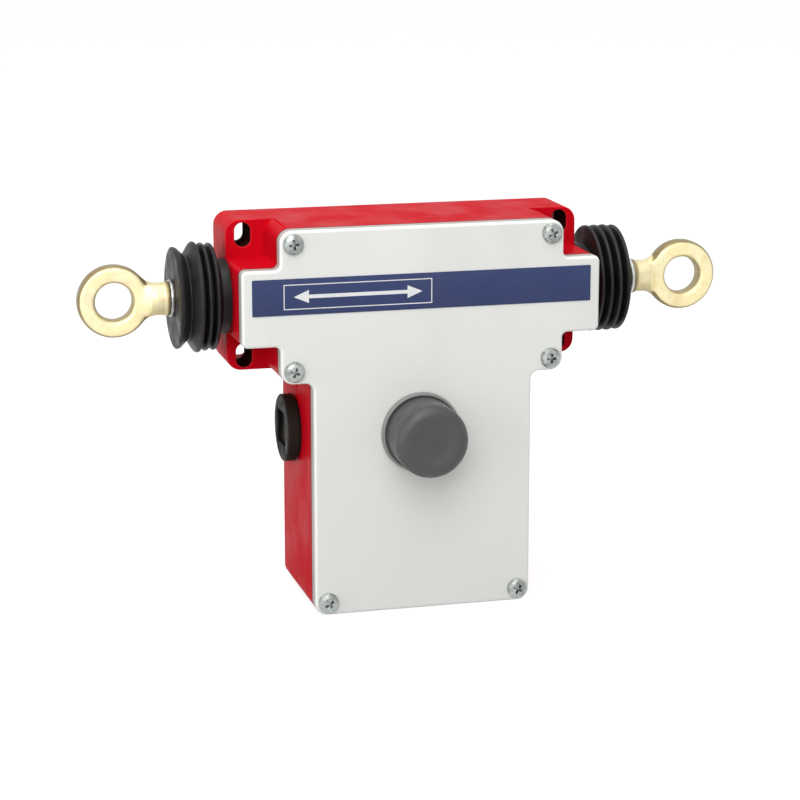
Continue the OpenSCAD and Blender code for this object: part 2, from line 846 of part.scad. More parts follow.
module button_stem() {
    color(steel) difference() {
        union() {
            deep_cylinder(button_x, button_z, cap_floor, nose_y, stem_r);
            translate([button_x, nose_y, button_z]) sphere(nose_r);
        }
        // The clip's groove
        difference() {
            deep_cylinder(button_x, button_z, guide_back + 0.2, guide_back + 1.4, stem_r + cut);
            deep_cylinder(button_x, button_z, guide_back, guide_back + 2, stem_r - groove_depth);
        }
    }
}

module stem_clip() {
    color(dark_grey) difference() {
        deep_cylinder(button_x, button_z, guide_back + near, guide_back + 1.3, stem_r + 2.5);
        deep_cylinder(button_x, button_z, guide_back, guide_back + 2, stem_r - groove_depth + seat);
        translate([button_x - 1.5, guide_back, button_z - 12]) cube([3, 3, 8]);
    }
}

module button_spring() {
    gap = near / 2;
    y0 = cap_floor + gap;
    y1 = guide_back - guide_t - gap;
    color(steel) translate([button_x, y1, button_z]) rotate([90, 0, 0])
        coil(reset_spring_r, reset_wire, y1 - y0, reset_turns);
}

// ---- Earth terminal ----

module earth_clamp() {
    color(bronze) difference() {
        translate([earth_x - clamp_w / 2, clamp_front, earth_z - clamp_w / 2])
            cube([clamp_w, clamp_t, clamp_w]);
        deep_cylinder(earth_x, earth_z, clamp_front - cut, clamp_front + clamp_t + cut, m4_r + seat);
    }
}

module earth_screw() {
    color(steel) screw(earth_x, earth_z, clamp_front, 4, 2.6, m4_r, 7.5);
}

// ---- The assembly ----

housing();
front_cover();
cover_gasket();
cover_screws();
name_band();
on_side(-1) entry_plug();  // left_entry_plug
on_side(1) entry_plug();  // right_entry_plug
on_side(-1) plug_seal();  // left_plug_seal
on_side(1) plug_seal();  // right_plug_seal
on_side(-1) guide_bush();  // left_guide_bush
on_side(1) guide_bush();  // right_guide_bush
on_side(-1) boot_ring();  // left_boot_ring
on_side(1) boot_ring();  // right_boot_ring
left_boot();
right_boot();
on_side(-1) pull_rod(left_reach);  // left_pull_rod
on_side(1) pull_rod(right_reach);  // right_pull_rod
on_side(-1) eye_washer(left_reach);  // left_eye_washer
on_side(1) eye_washer(right_reach);  // right_eye_washer
on_side(-1) eye_bolt(left_reach);  // left_eye_bolt
on_side(1) eye_bolt(right_reach);  // right_eye_bolt
on_side(-1) rod_spring();  // left_rod_spring
on_side(1) rod_spring();  // right_rod_spring
on_side(-1) spring_plate();  // left_spring_plate
on_side(1) spring_plate();  // right_spring_plate
on_side(-1) adjusting_nut();  // left_adjusting_nut
on_side(1) adjusting_nut();  // right_adjusting_nut
on_side(-1) cam();  // left_cam
on_side(1) cam();  // right_cam
on_side(-1) plunger();  // left_plunger
on_side(1) plunger();  // right_plunger
on_side(-1) contact_block();  // left_contact_block
on_side(1) contact_block();  // right_contact_block
block_screws();
terminal_screws();
mechanism_bracket();
bracket_screws();
latch_lever();
latch_pin();
pin_clips();
button_bezel();
bezel_seal();
bezel_nut();
button_cap();
button_stem();
stem_clip();
button_spring();
earth_screw();
earth_clamp();
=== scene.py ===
"""Rope pull switch, two-way, with a reset button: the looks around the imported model.

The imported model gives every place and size. The pieces that show get rounded edges, folds and
fillets here, and every piece gets a finish that is built from nodes.
"""
import json
import math

import bmesh
import bpy
from bpy.props import FloatProperty, FloatVectorProperty, IntProperty, PointerProperty
from bpy.types import Operator, Panel, PropertyGroup
from mathutils import Matrix, Vector
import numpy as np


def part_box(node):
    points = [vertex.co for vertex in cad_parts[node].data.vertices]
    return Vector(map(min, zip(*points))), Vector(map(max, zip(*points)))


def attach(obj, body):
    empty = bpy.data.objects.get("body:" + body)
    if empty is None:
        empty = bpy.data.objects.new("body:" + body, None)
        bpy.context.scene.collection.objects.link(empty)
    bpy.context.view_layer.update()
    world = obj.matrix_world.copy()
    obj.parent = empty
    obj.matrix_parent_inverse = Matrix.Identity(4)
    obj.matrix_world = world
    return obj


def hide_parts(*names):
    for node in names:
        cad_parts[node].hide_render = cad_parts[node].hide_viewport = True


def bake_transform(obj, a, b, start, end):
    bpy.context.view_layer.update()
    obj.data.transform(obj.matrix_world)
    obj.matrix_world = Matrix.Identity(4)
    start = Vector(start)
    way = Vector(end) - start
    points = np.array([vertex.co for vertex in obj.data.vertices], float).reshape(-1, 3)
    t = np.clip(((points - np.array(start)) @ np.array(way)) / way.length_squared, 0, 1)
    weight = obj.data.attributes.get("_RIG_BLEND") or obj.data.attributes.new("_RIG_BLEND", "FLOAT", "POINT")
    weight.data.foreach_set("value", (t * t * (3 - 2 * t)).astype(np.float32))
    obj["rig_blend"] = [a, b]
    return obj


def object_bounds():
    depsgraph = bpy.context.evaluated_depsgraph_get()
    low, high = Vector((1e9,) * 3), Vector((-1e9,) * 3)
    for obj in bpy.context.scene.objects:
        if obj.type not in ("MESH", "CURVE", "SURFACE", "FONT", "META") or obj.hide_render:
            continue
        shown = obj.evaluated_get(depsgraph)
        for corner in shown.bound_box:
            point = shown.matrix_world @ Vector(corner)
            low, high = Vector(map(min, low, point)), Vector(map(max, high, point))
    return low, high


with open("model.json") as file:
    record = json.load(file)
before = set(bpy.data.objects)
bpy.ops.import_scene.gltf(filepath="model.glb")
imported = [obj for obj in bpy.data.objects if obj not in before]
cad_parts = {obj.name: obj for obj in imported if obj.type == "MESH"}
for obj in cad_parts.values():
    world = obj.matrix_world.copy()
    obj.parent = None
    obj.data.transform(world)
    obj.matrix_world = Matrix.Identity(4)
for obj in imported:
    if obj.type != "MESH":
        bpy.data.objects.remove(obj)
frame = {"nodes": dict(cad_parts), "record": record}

bl_info = {
    "name": "Rope Pull Switch",
    "version": (1, 0, 0),
    "blender": (4, 5, 0),
    "location": "View3D > Sidebar > Switch",
    "description": "Builds a two-way rope pull switch with bellows, eyes and a reset button",
    "category": "Add Mesh",
}

MM = 0.001
WELD = 1e-6
ON_PLANE = 0.05 * MM
SENSOR_WIDTH = 36
CAD_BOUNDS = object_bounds()
NODES = frame["nodes"]

# Places that several pieces share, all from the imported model
COVER_LOW, COVER_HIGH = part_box("front_cover")
BAND_LOW, BAND_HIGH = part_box("name_band")
ROD_LOW, ROD_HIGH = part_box("right_pull_rod")
ROD_Y = (ROD_LOW.y + ROD_HIGH.y) / 2
ROD_Z = (ROD_LOW.z + ROD_HIGH.z) / 2
ROD_RADIUS = (ROD_HIGH.z - ROD_LOW.z) / 2
CAP_LOW, CAP_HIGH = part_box("button_cap")
SLOTS = next(mount for mount in frame["record"]["mounts"] if mount["name"] == "right_slots")
SLOT_X = SLOTS["pos_m"][0]
SLOT_Z = SLOTS["dims"]["spacing_y_mm"] * MM / 2
SLOT_LENGTH = SLOTS["dims"]["slot_length_mm"] * MM
SLOT_RADIUS = SLOTS["dims"]["hole_r_mm"] * MM
SIDES = {"left": -1, "right": 1}

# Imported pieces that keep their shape: width of their rounded edges in millimetres, and its segments
ROUNDED = {
    "pull_rod": (0.6, 3), "eye_washer": (0.3, 2), "spring_plate": (0.3, 2), "adjusting_nut": (0.4, 3),
    "cam": (0.3, 2), "guide_bush": (0.3, 2), "button_bezel": (0.5, 3), "button_stem": (0.3, 2),
    "bezel_nut": (0.4, 2), "mechanism_bracket": (0.3, 2), "latch_lever": (0.25, 2),
    "contact_block": (0.4, 2),
}


# ---------------------------------------------------------------- settings


class SwitchSizes(PropertyGroup):
    """Sizes of the rounded edges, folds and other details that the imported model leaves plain."""

    casting_edge: FloatProperty(
        name="Casting edge", description="Rounding of the cast housing's outer edges",
        default=0.6 * MM, min=0.1 * MM, max=1.0 * MM, unit="LENGTH")
    slot_edge: FloatProperty(
        name="Slot edge", description="Rounding of the mounting slots' mouths",
        default=0.7 * MM, min=0.1 * MM, max=0.8 * MM, unit="LENGTH")
    rim_edge: FloatProperty(
        name="Rim edge", description="Rounding where the housing meets the gasket",
        default=0.3 * MM, min=0.1 * MM, max=0.5 * MM, unit="LENGTH")
    cover_edge: FloatProperty(
        name="Cover edge", description="Rounding round the front of the cover",
        default=1.6 * MM, min=0.5 * MM, max=3 * MM, unit="LENGTH")
    fold_edge: FloatProperty(
        name="Fold edge", description="Rounding of a bellows fold's crest",
        default=1.1 * MM, min=0.5 * MM, max=1.5 * MM, unit="LENGTH")
    eye_voxel: FloatProperty(
        name="Eye grain", description="Mesh size of the forged eyes",
        default=0.45 * MM, min=0.3 * MM, max=1 * MM, unit="LENGTH")
    turn_steps: IntProperty(
        name="Turning steps", description="Steps of a full turn on the round pieces",
        default=96, min=24, max=180)


class SwitchColours(PropertyGroup):
    """Colours of the finishes, as linear values."""

    casting: FloatVectorProperty(
        name="Casting red", description="Paint of the cast housing", subtype="COLOR", size=4,
        default=(0.60, 0.003, 0.012, 1))
    cover: FloatVectorProperty(
        name="Cover grey", description="Paint of the front cover", subtype="COLOR", size=4,
        default=(0.83, 0.83, 0.80, 1))
    band: FloatVectorProperty(
        name="Band blue", description="Film across the cover", subtype="COLOR", size=4,
        default=(0.032, 0.048, 0.138, 1))
    rubber: FloatVectorProperty(
        name="Rubber black", description="Bellows", subtype="COLOR", size=4,
        default=(0.006, 0.006, 0.006, 1))
    zinc: FloatVectorProperty(
        name="Yellow zinc", description="Plating of the eyes and rods", subtype="COLOR", size=4,
        default=(0.95, 0.84, 0.48, 1))
    cap: FloatVectorProperty(
        name="Cap grey", description="Cap of the reset button", subtype="COLOR", size=4,
        default=(0.052, 0.052, 0.050, 1))
    bezel: FloatVectorProperty(
        name="Ring grey", description="Ring round the reset button", subtype="COLOR", size=4,
        default=(0.17, 0.17, 0.165, 1))


class SwitchStage(PropertyGroup):
    """The camera's place and the light."""

    camera_place: FloatVectorProperty(
        name="Camera place", description="Where the camera stands", subtype="TRANSLATION",
        unit="LENGTH", default=(-0.32067, -1.23493, 0.23278))
    camera_target: FloatVectorProperty(
        name="Camera target", description="What the camera looks at", subtype="TRANSLATION",
        unit="LENGTH", default=(-0.01224, -0.0725, -0.04864))
    lens: FloatProperty(
        name="Lens", description="Focal length on a 36 mm wide sensor", default=112.5, min=20, max=300)
    sky: FloatProperty(
        name="Sky strength", description="Strength of the even light from all round",
        default=0.5, min=0, max=2)


def sizes():
    """The sizes that the sidebar shows."""
    return bpy.context.scene.switch_sizes


def colours():
    """The colours that the sidebar shows."""
    return bpy.context.scene.switch_colours


# ---------------------------------------------------------------- finishes


class Finish:
    """One material: a Principled shader with patterns that read Object coordinates."""

    def __init__(self, name, colour, roughness, metallic=0.0, specular=0.5):
        self.material = bpy.data.materials.new(name)
        self.material.use_nodes = True
        self.tree = self.material.node_tree
        self.shader = self.tree.nodes["Principled BSDF"]
        self.colour = tuple(colour)
        self.set("Base Color", self.colour)
        self.set("Roughness", roughness)
        self.set("Metallic", metallic)
        self.set("Specular IOR Level", specular)
        self.place = self.tree.nodes.new("ShaderNodeTexCoord").outputs["Object"]

    def set(self, socket, value):
        self.shader.inputs[socket].default_value = value

    def link(self, source, target):
        self.tree.links.new(source, target)

    def stretched(self, scale):
        """Object coordinates, scaled per axis, so that a pattern runs along one of them."""
        mapping = self.tree.nodes.new("ShaderNodeMapping")
        mapping.inputs["Scale"].default_value = scale
        self.link(self.place, mapping.inputs["Vector"])
        return mapping.outputs["Vector"]

    def noise(self, scale, detail=3.0, distortion=0.0, place=None):
        node = self.tree.nodes.new("ShaderNodeTexNoise")
        node.inputs["Scale"].default_value = scale
        node.inputs["Detail"].default_value = detail
        node.inputs["Distortion"].default_value = distortion
        self.link(place or self.place, node.inputs["Vector"])
        return node.outputs["Fac"]

    def cells(self, scale, output="Distance"):
        node = self.tree.nodes.new("ShaderNodeTexVoronoi")
        node.inputs["Scale"].default_value = scale
        self.link(self.place, node.inputs["Vector"])
        return node.outputs[output]

    def rings(self, scale, centre, axis):
        """Fine turning marks round a line through centre, along axis."""
        mapping = self.tree.nodes.new("ShaderNodeMapping")
        mapping.inputs["Location"].default_value = -Vector(centre)
        self.link(self.place, mapping.inputs["Vector"])
        wave = self.tree.nodes.new("ShaderNodeTexWave")
        wave.wave_type = "RINGS"
        wave.rings_direction = axis
        wave.inputs["Scale"].default_value = scale
        wave.inputs["Distortion"].default_value = 0.6
        wave.inputs["Detail"].default_value = 2
        self.link(mapping.outputs["Vector"], wave.inputs["Vector"])
        return wave.outputs["Fac"]

    def height(self, direction="Z"):
        """The place along one axis, in metres."""
        split = self.tree.nodes.new("ShaderNodeSeparateXYZ")
        self.link(self.place, split.inputs[0])
        return split.outputs[direction]

    def attribute(self, name):
        node = self.tree.nodes.new("ShaderNodeAttribute")
        node.attribute_name = name
        return node.outputs["Fac"]

    def between(self, value, low, high, out_low=0.0, out_high=1.0):
        """value from low..high, carried to out_low..out_high and held there."""
        node = self.tree.nodes.new("ShaderNodeMapRange")
        limits = {"From Min": low, "From Max": high, "To Min": out_low, "To Max": out_high}
        for name, number in limits.items():
            node.inputs[name].default_value = number
        self.link(value, node.inputs["Value"])
        return node.outputs["Result"]

    def tint(self, amount, colour):
        """Mixes colour into the base colour by a pattern."""
        mix = self.tree.nodes.new("ShaderNodeMix")
        mix.data_type = "RGBA"
        base = self.shader.inputs["Base Color"]
        if base.links:
            self.link(base.links[0].from_socket, self.colour_input(mix, "A"))
        else:
            self.colour_input(mix, "A").default_value = self.colour
        self.colour_input(mix, "B").default_value = tuple(colour)
        self.link(amount, mix.inputs["Factor"])
        self.link(self.colour_output(mix), base)

    def mottle(self, pattern, low, high, amount, colour):
        """Mixes in up to amount of colour where a pattern goes from low to high."""
        self.tint(self.between(pattern, low, high, 0, amount), colour)

    def blotches(self, scale, detail, low, high, amount, colour, distortion=0.0):
        """Cloudy patches of another colour."""
        self.mottle(self.noise(scale, detail, distortion), low, high, amount, colour)

    def painted_light_and_tone(self, amount, colour, low=0.2):
        """Mixes colour in where the edge attribute is marked: a painted highlight or painted shade along
        rounded edges, and painted shade and a darker neck tone on the eyes.
        """
        self.mottle(self.attribute("edge"), low, 1, amount, colour)

    @staticmethod
    def colour_input(mix, name):
        return next(socket for socket in mix.inputs if socket.name == name and socket.type == "RGBA")

    @staticmethod
    def colour_output(mix):
        return next(socket for socket in mix.outputs if socket.type == "RGBA")

    def roughness(self, pattern, low, high, from_low=0.35, from_high=0.65):
        self.link(self.between(pattern, from_low, from_high, low, high), self.shader.inputs["Roughness"])

    def patchy(self, scale, detail, low, high):
        """A roughness that drifts between two values."""
        self.roughness(self.noise(scale, detail), low, high)

    def grain(self, scale, detail, strength, distance):
        """A cloudy relief."""
        self.bump(self.noise(scale, detail), strength, distance)

    def bump(self, pattern, strength, distance):
        """Adds one relief over the ones before it."""
        node = self.tree.nodes.new("ShaderNodeBump")
        node.inputs["Strength"].default_value = strength
        node.inputs["Distance"].default_value = distance
        normal = self.shader.inputs["Normal"]
        if normal.links:
            self.link(normal.links[0].from_socket, node.inputs["Normal"])
        self.link(pattern, node.inputs["Height"])
        self.link(node.outputs["Normal"], normal)


def highest(tree, *sockets):
    """The largest of several numbers."""
    total = sockets[0]
    for socket in sockets[1:]:
        most = tree.nodes.new("ShaderNodeMath")
        most.operation = "MAXIMUM"
        tree.links.new(total, most.inputs[0])
        tree.links.new(socket, most.inputs[1])
        total = most.outputs[0]
    return total


def held(value):
    """value, held between 0 and 1."""
    return max(0.0, min(1.0, value))


def shade(colour, factor):
    return tuple(min(1.0, c * factor) for c in colour[:3]) + (1.0,)


def red_paint():
    """Paint over a casting: orange peel, a painted highlight along the rounded edges, and painted shade on
    the slot walls.
    """
    red = colours().casting
    finish = Finish("red_casting_paint", red, 0.42, specular=0.012)
    finish.blotches(18, 4, 0.35, 0.7, 0.3, shade(red, 0.74))
    finish.blotches(900, 2, 0.45, 0.75, 0.15, (0.76, 0.015, 0.028, 1))
    # Paler red along the rounded edges: a painted highlight.
    finish.painted_light_and_tone(0.4, (0.90, 0.04, 0.05, 1))
    # The slot walls: painted shade, with rougher paint there.
    bore_shade = finish.attribute("bore_shade")
    finish.mottle(bore_shade, 0, 1, 0.94, (0.012, 0.008, 0.006, 1))
    paint = finish.between(finish.noise(45, 4), 0.35, 0.65, 0.32, 0.5)
    finish.link(highest(finish.tree, paint, bore_shade), finish.shader.inputs["Roughness"])
    finish.grain(420, 3, 0.16, 0.4 * MM)
    finish.grain(60, 2, 0.10, 1.0 * MM)
    return finish.material


def pale_paint():
    """Fine powder paint on the cover: a faint speckle, soft smudges, painted shade towards the bottom and on
    the flanks, and a painted highlight on the front edge.
    """
    pale = colours().cover
    finish = Finish("pale_cover_paint", pale, 0.48, specular=0.3)
    # Greyer towards the bottom: painted shade.
    finish.tint(finish.between(finish.height(), -0.15, 0.03, 0.55, 0.0), shade(pale, 0.86))
    finish.blotches(14, 5, 0.42, 0.72, 0.30, shade(pale, 0.88), 0.4)
    streaks = finish.noise(9, 4, 0.2, finish.stretched((3.5, 1, 0.7)))
    finish.mottle(streaks, 0.5, 0.75, 0.22, (0.66, 0.665, 0.63, 1))
    finish.blotches(1500, 2, 0.52, 0.72, 0.25, shade(pale, 0.84))
    # The cover's flanks: painted shade, tinted by a painted reflection of the red housing.
    flank_shade = finish.between(finish.height("Y"), COVER_LOW.y + 1.2 * MM, COVER_LOW.y + 2.2 * MM, 0, 0.6)
    finish.tint(flank_shade, (0.25, 0.17, 0.155, 1))
    # Whiter along the rounded front edge: a painted highlight.
    finish.painted_light_and_tone(0.8, (0.92, 0.92, 0.90, 1))
    finish.patchy(30, 4, 0.38, 0.56)
    finish.grain(1300, 2, 0.10, 0.15 * MM)
    finish.grain(160, 3, 0.05, 0.3 * MM)
    return finish.material


def blue_film():
    """Printed film with a dull sheen and rubbed patches."""
    finish = Finish("blue_band_film", colours().band, 0.45, specular=0.25)
    finish.blotches(25, 4, 0.4, 0.7, 0.4, (0.046, 0.058, 0.125, 1), 0.3)
    finish.blotches(900, 2, 0.5, 0.75, 0.2, (0.07, 0.08, 0.14, 1))
    # Paler along the rounded edges: a painted highlight.
    finish.painted_light_and_tone(0.5, (0.12, 0.13, 0.18, 1))
    finish.patchy(80, 3, 0.36, 0.54)
    finish.grain(700, 2, 0.05, 0.1 * MM)
    return finish.material


def white_print():
    """White ink on the band."""
    finish = Finish("white_print_ink", (0.80, 0.80, 0.80, 1), 0.5)
    finish.blotches(400, 3, 0.45, 0.75, 0.4, (0.60, 0.61, 0.65, 1))
    finish.patchy(120, 2, 0.42, 0.6)
    finish.grain(900, 2, 0.05, 0.05 * MM)
    return finish.material


def black_rubber():
    """Moulded rubber with a soft sheen, dusty in patches."""
    finish = Finish("black_bellows_rubber", colours().rubber, 0.40, specular=0.30)
    finish.blotches(70, 5, 0.45, 0.75, 0.5, (0.016, 0.015, 0.014, 1), 0.3)
    finish.blotches(1100, 2, 0.55, 0.75, 0.3, (0.03, 0.03, 0.03, 1))
    finish.patchy(120, 4, 0.36, 0.6)
    finish.grain(1400, 2, 0.10, 0.12 * MM)
    finish.grain(140, 3, 0.10, 0.4 * MM)
    return finish.material


def black_plastic():
    """Spark-eroded black plastic of the plugs and plungers."""
    finish = Finish("black_moulded_plastic", (0.006, 0.005, 0.004, 1), 0.34, specular=0.03)
    finish.blotches(60, 4, 0.45, 0.7, 0.5, (0.012, 0.011, 0.010, 1))
    # Paler along the rounded edges: a painted highlight.
    finish.painted_light_and_tone(0.2, (0.09, 0.075, 0.06, 1), 0.5)
    finish.patchy(200, 3, 0.36, 0.54)
    finish.bump(finish.cells(1600), 0.14, 0.12 * MM)
    return finish.material


def grey_plastic(name, colour, light):
    """Moulded grey plastic with a fine grain; light is a paler tone, for a fine speckle and for a painted
    highlight along its rounded edges.
    """
    finish = Finish(name, colour, 0.44)
    finish.blotches(90, 4, 0.42, 0.7, 0.35, shade(colour, 0.8))
    finish.blotches(1200, 2, 0.5, 0.75, 0.2, light)
    # Paler along the rounded edges: a painted highlight.
    finish.painted_light_and_tone(0.5, light)
    finish.patchy(150, 3, 0.36, 0.52)
    finish.bump(finish.cells(1500), 0.10, 0.1 * MM)
    finish.grain(250, 2, 0.05, 0.2 * MM)
    return finish.material


def yellow_zinc():
    """Yellow passivated zinc: pale straw that drifts to gold, olive and rose."""
    finish = Finish("yellow_zinc_plating", colours().zinc, 0.36, metallic=0.62)
    finish.blotches(60, 4, 0.45, 0.62, 0.6, (0.96, 0.90, 0.60, 1), 0.8)
    finish.blotches(110, 3, 0.52, 0.68, 0.45, (0.80, 0.60, 0.28, 1), 1.5)
    rose = finish.noise(85, 3, 1.0, finish.stretched((1, 2, 1.3)))
    finish.mottle(rose, 0.56, 0.7, 0.35, (0.92, 0.66, 0.46, 1))
    olive = finish.noise(75, 3, 1.2, finish.stretched((1.7, 1, 1)))
    finish.mottle(olive, 0.58, 0.7, 0.3, (0.66, 0.66, 0.30, 1))
    # Darker where the edge attribute is marked: painted shade round the eye rings, in their holes, at the
    # collars and under the necks, a darker tone over the necks, and also along the rods' rounded edges.
    finish.painted_light_and_tone(0.85, (0.17, 0.115, 0.035, 1), 0.1)
    finish.patchy(130, 4, 0.33, 0.52)
    finish.grain(260, 3, 0.12, 0.3 * MM)
    finish.grain(1400, 2, 0.05, 0.08 * MM)
    return finish.material


def bright_steel(name="bright_zinc_steel", dark=(0.34, 0.34, 0.34, 1), grey=(0.62, 0.63, 0.63, 1)):
    """Clear zinc on steel: grey, blotched and finely scratched."""
    finish = Finish(name, grey, 0.32, metallic=1.0)
    finish.blotches(220, 4, 0.42, 0.68, 0.65, dark, 0.6)
    scratches = finish.noise(900, 2, 0, finish.stretched((1, 6, 1)))
    finish.mottle(scratches, 0.5, 0.7, 0.3, shade(grey, 1.2))
    finish.patchy(320, 4, 0.26, 0.5)
    finish.bump(finish.noise(800, 2, 0, finish.stretched((1, 8, 1))), 0.08, 0.1 * MM)
    return finish.material


def turned_steel():
    """Turned steel of the rods and their nuts, with marks round the rod."""
    finish = Finish("turned_rod_steel", (0.56, 0.56, 0.57, 1), 0.3, metallic=1.0)
    finish.blotches(90, 4, 0.42, 0.7, 0.5, (0.32, 0.31, 0.30, 1), 0.4)
    finish.roughness(finish.noise(300, 3, 0, finish.stretched((6, 1, 1))), 0.2, 0.42)
    finish.bump(finish.rings(2200, (0, ROD_Y, ROD_Z), "X"), 0.06, 0.08 * MM)
    return finish.material


def spring_steel():
    """Drawn spring wire, dark with oil, with brighter patches."""
    finish = Finish("drawn_spring_wire", (0.22, 0.22, 0.23, 1), 0.34, metallic=1.0)
    finish.blotches(260, 4, 0.5, 0.72, 0.6, (0.5, 0.5, 0.52, 1))
    finish.blotches(70, 3, 0.55, 0.7, 0.4, (0.14, 0.10, 0.06, 1))
    finish.patchy(500, 3, 0.24, 0.46)
    finish.bump(finish.noise(1500, 2, 0, finish.stretched((1, 1, 5))), 0.08, 0.06 * MM)
    return finish.material


def bearing_bronze():
    """Sintered bronze with oil in its pores."""
    finish = Finish("sintered_bronze", (0.46, 0.27, 0.09, 1), 0.42, metallic=1.0)
    finish.blotches(120, 4, 0.42, 0.7, 0.5, (0.26, 0.15, 0.06, 1))
    finish.tint(finish.between(finish.cells(2500), 0.0, 0.35, 0.4, 0.0), (0.08, 0.05, 0.03, 1))
    finish.patchy(400, 3, 0.32, 0.55)
    finish.bump(finish.cells(2500), 0.12, 0.06 * MM)
    return finish.material


def galvanised_sheet():
    """Galvanised sheet with its spangle."""
    finish = Finish("galvanised_sheet", (0.58, 0.59, 0.60, 1), 0.38, metallic=1.0)
    flowers = finish.cells(240, output="Color")
    grey = finish.tree.nodes.new("ShaderNodeRGBToBW")
    finish.link(flowers, grey.inputs[0])
    finish.mottle(grey.outputs[0], 0.2, 0.8, 0.5, (0.42, 0.43, 0.45, 1))
    finish.roughness(grey.outputs[0], 0.28, 0.5, 0.2, 0.8)
    finish.grain(500, 3, 0.05, 0.1 * MM)
    return finish.material


def soft_gasket():
    """Cellular rubber of the gasket and seals."""
    finish = Finish("cellular_gasket_rubber", (0.016, 0.016, 0.016, 1), 0.75, specular=0.3)
    finish.blotches(500, 3, 0.45, 0.7, 0.5, (0.045, 0.043, 0.04, 1))
    finish.patchy(300, 2, 0.66, 0.85)
    finish.bump(finish.cells(2600), 0.25, 0.12 * MM)
    return finish.material


def finish_named(name):
    """Each finish is built once, when a piece first needs it."""
    if name not in FINISHED:
        FINISHED[name] = FINISHES[name]()
    return FINISHED[name]


FINISHED = {}
FINISHES = {
    "red_paint": red_paint,
    "pale_paint": pale_paint,
    "blue_film": blue_film,
    "white_print": white_print,
    "black_rubber": black_rubber,
    "black_plastic": black_plastic,
    "cap_plastic": lambda: grey_plastic("dark_cap_plastic", colours().cap, (0.063, 0.063, 0.061, 1)),
    "ring_plastic": lambda: grey_plastic("grey_ring_plastic", colours().bezel, (0.36, 0.36, 0.35, 1)),
    "block_plastic": lambda: grey_plastic(
        "contact_block_plastic", (0.25, 0.26, 0.26, 1), (0.4, 0.4, 0.4, 1)),
    "yellow_zinc": yellow_zinc,
    "bright_steel": bright_steel,
    "screw_steel": lambda: bright_steel(
        "dull_screw_steel", (0.12, 0.125, 0.12, 1), (0.42, 0.45, 0.43, 1)),
    "turned_steel": turned_steel,
    "spring_steel": spring_steel,
    "bronze": bearing_bronze,
    "galvanised": galvanised_sheet,
    "gasket": soft_gasket,
}


# ---------------------------------------------------------------- modelling


def merge(bm):
    """Welds the points that lie together."""
    bmesh.ops.remove_doubles(bm, verts=bm.verts[:], dist=WELD)


def face_outwards(bm):
    bmesh.ops.recalc_face_normals(bm, faces=bm.faces[:])


def close_ends(bm):
    """Fills the open ends of a tube or a turned shape."""
    bmesh.ops.holes_fill(bm, edges=[e for e in bm.edges if e.is_boundary])


def mesh_of(name, bm):
    """The mesh of a bmesh, which is freed."""
    mesh = bpy.data.meshes.new(name)
    bm.to_mesh(mesh)
    bm.free()
    return mesh


def added(name, data):
    """A new object in the scene."""
    made = bpy.data.objects.new(name, data)
    bpy.context.scene.collection.objects.link(made)
    return made


def make_piece(name, bm, finish, body, replaces=(), crease=35.0, even=False):
    """Turns a bmesh into a finished piece that rides on a CAD body."""
    merge(bm)
    face_outwards(bm)
    mesh = mesh_of(name, bm)
    mesh.shade_smooth()
    mesh.set_sharp_from_angle(angle=math.radians(crease))
    mesh.materials.append(finish_named(finish))
    piece = added(name, mesh)
    if even:
        shading = piece.modifiers.new("Even shading", "WEIGHTED_NORMAL")
        shading.keep_sharp = True
    if body:
        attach(piece, body)
    if replaces:
        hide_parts(*replaces)
    return piece


def round_edges(bm, edges, width, segments=3):
    """Rounds some edges, and marks the middle of each rounding in the edge attribute."""
    mark = bm.verts.layers.float.get("edge") or bm.verts.layers.float.new("edge")
    made = bmesh.ops.bevel(
        bm, geom=edges, offset=width, offset_type="OFFSET", segments=segments, profile=0.5,
        affect="EDGES", material=-1, clamp_overlap=False, loop_slide=False)
    strip = set(made["faces"])
    for vert in made["verts"]:
        if vert.is_valid and all(face in strip for face in vert.link_faces):
            vert[mark] = 1.0


def sharp_edges(bm, degrees=32.0):
    """The edges whose faces meet at more than some degrees."""
    limit = math.radians(degrees)
    return [e for e in bm.edges if len(e.link_faces) == 2 and e.calc_face_angle(0) > limit]


def merged_copy(node):
    """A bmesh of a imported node, merged and with its flat faces whole again."""
    bm = bmesh.new()
    bm.from_mesh(NODES[node].data)
    merge(bm)
    flat = math.radians(0.6)
    bmesh.ops.dissolve_limit(bm, angle_limit=flat, use_dissolve_boundaries=False, verts=bm.verts[:],
                             edges=bm.edges[:], delimit=set())
    return bm


def softened(node, finish, body, degrees=32.0):
    """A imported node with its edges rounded, which stands for it."""
    width, segments = ROUNDED[node.removeprefix("left_").removeprefix("right_")]
    bm = merged_copy(node)
    round_edges(bm, sharp_edges(bm, degrees), width * MM, segments)
    return make_piece(node + "_finished", bm, finish, body, [node], crease=50, even=True)


def turned_bmesh(profile, centre, along, rounding):
    """A full turn of profile, a closed outline of (place along the axis, radius) points.
    rounding lists (point index, radius) for the corners that are rounded."""
    bm = bmesh.new()
    mark = bm.verts.layers.float.new("edge")
    verts = []
    for place, radius in profile:
        at = Vector((place, 0, radius)) if along == "X" else Vector((0, place, radius))
        verts.append(bm.verts.new(at + Vector(centre)))
    bm.faces.new(verts)
    for index, radius in rounding:
        made = bmesh.ops.bevel(bm, geom=[verts[index]], offset=radius, segments=5, profile=0.5,
                               affect="VERTICES", material=-1)
        for vert in made["verts"]:
            vert[mark] = 1.0
    bmesh.ops.delete(bm, geom=bm.faces[:], context="FACES_ONLY")
    axis = (1, 0, 0) if along == "X" else (0, 1, 0)
    bmesh.ops.spin(bm, geom=bm.verts[:] + bm.edges[:], cent=centre, axis=axis,
                   angle=2 * math.pi, steps=sizes().turn_steps, use_merge=True, use_duplicate=False)
    merge(bm)
    return bm


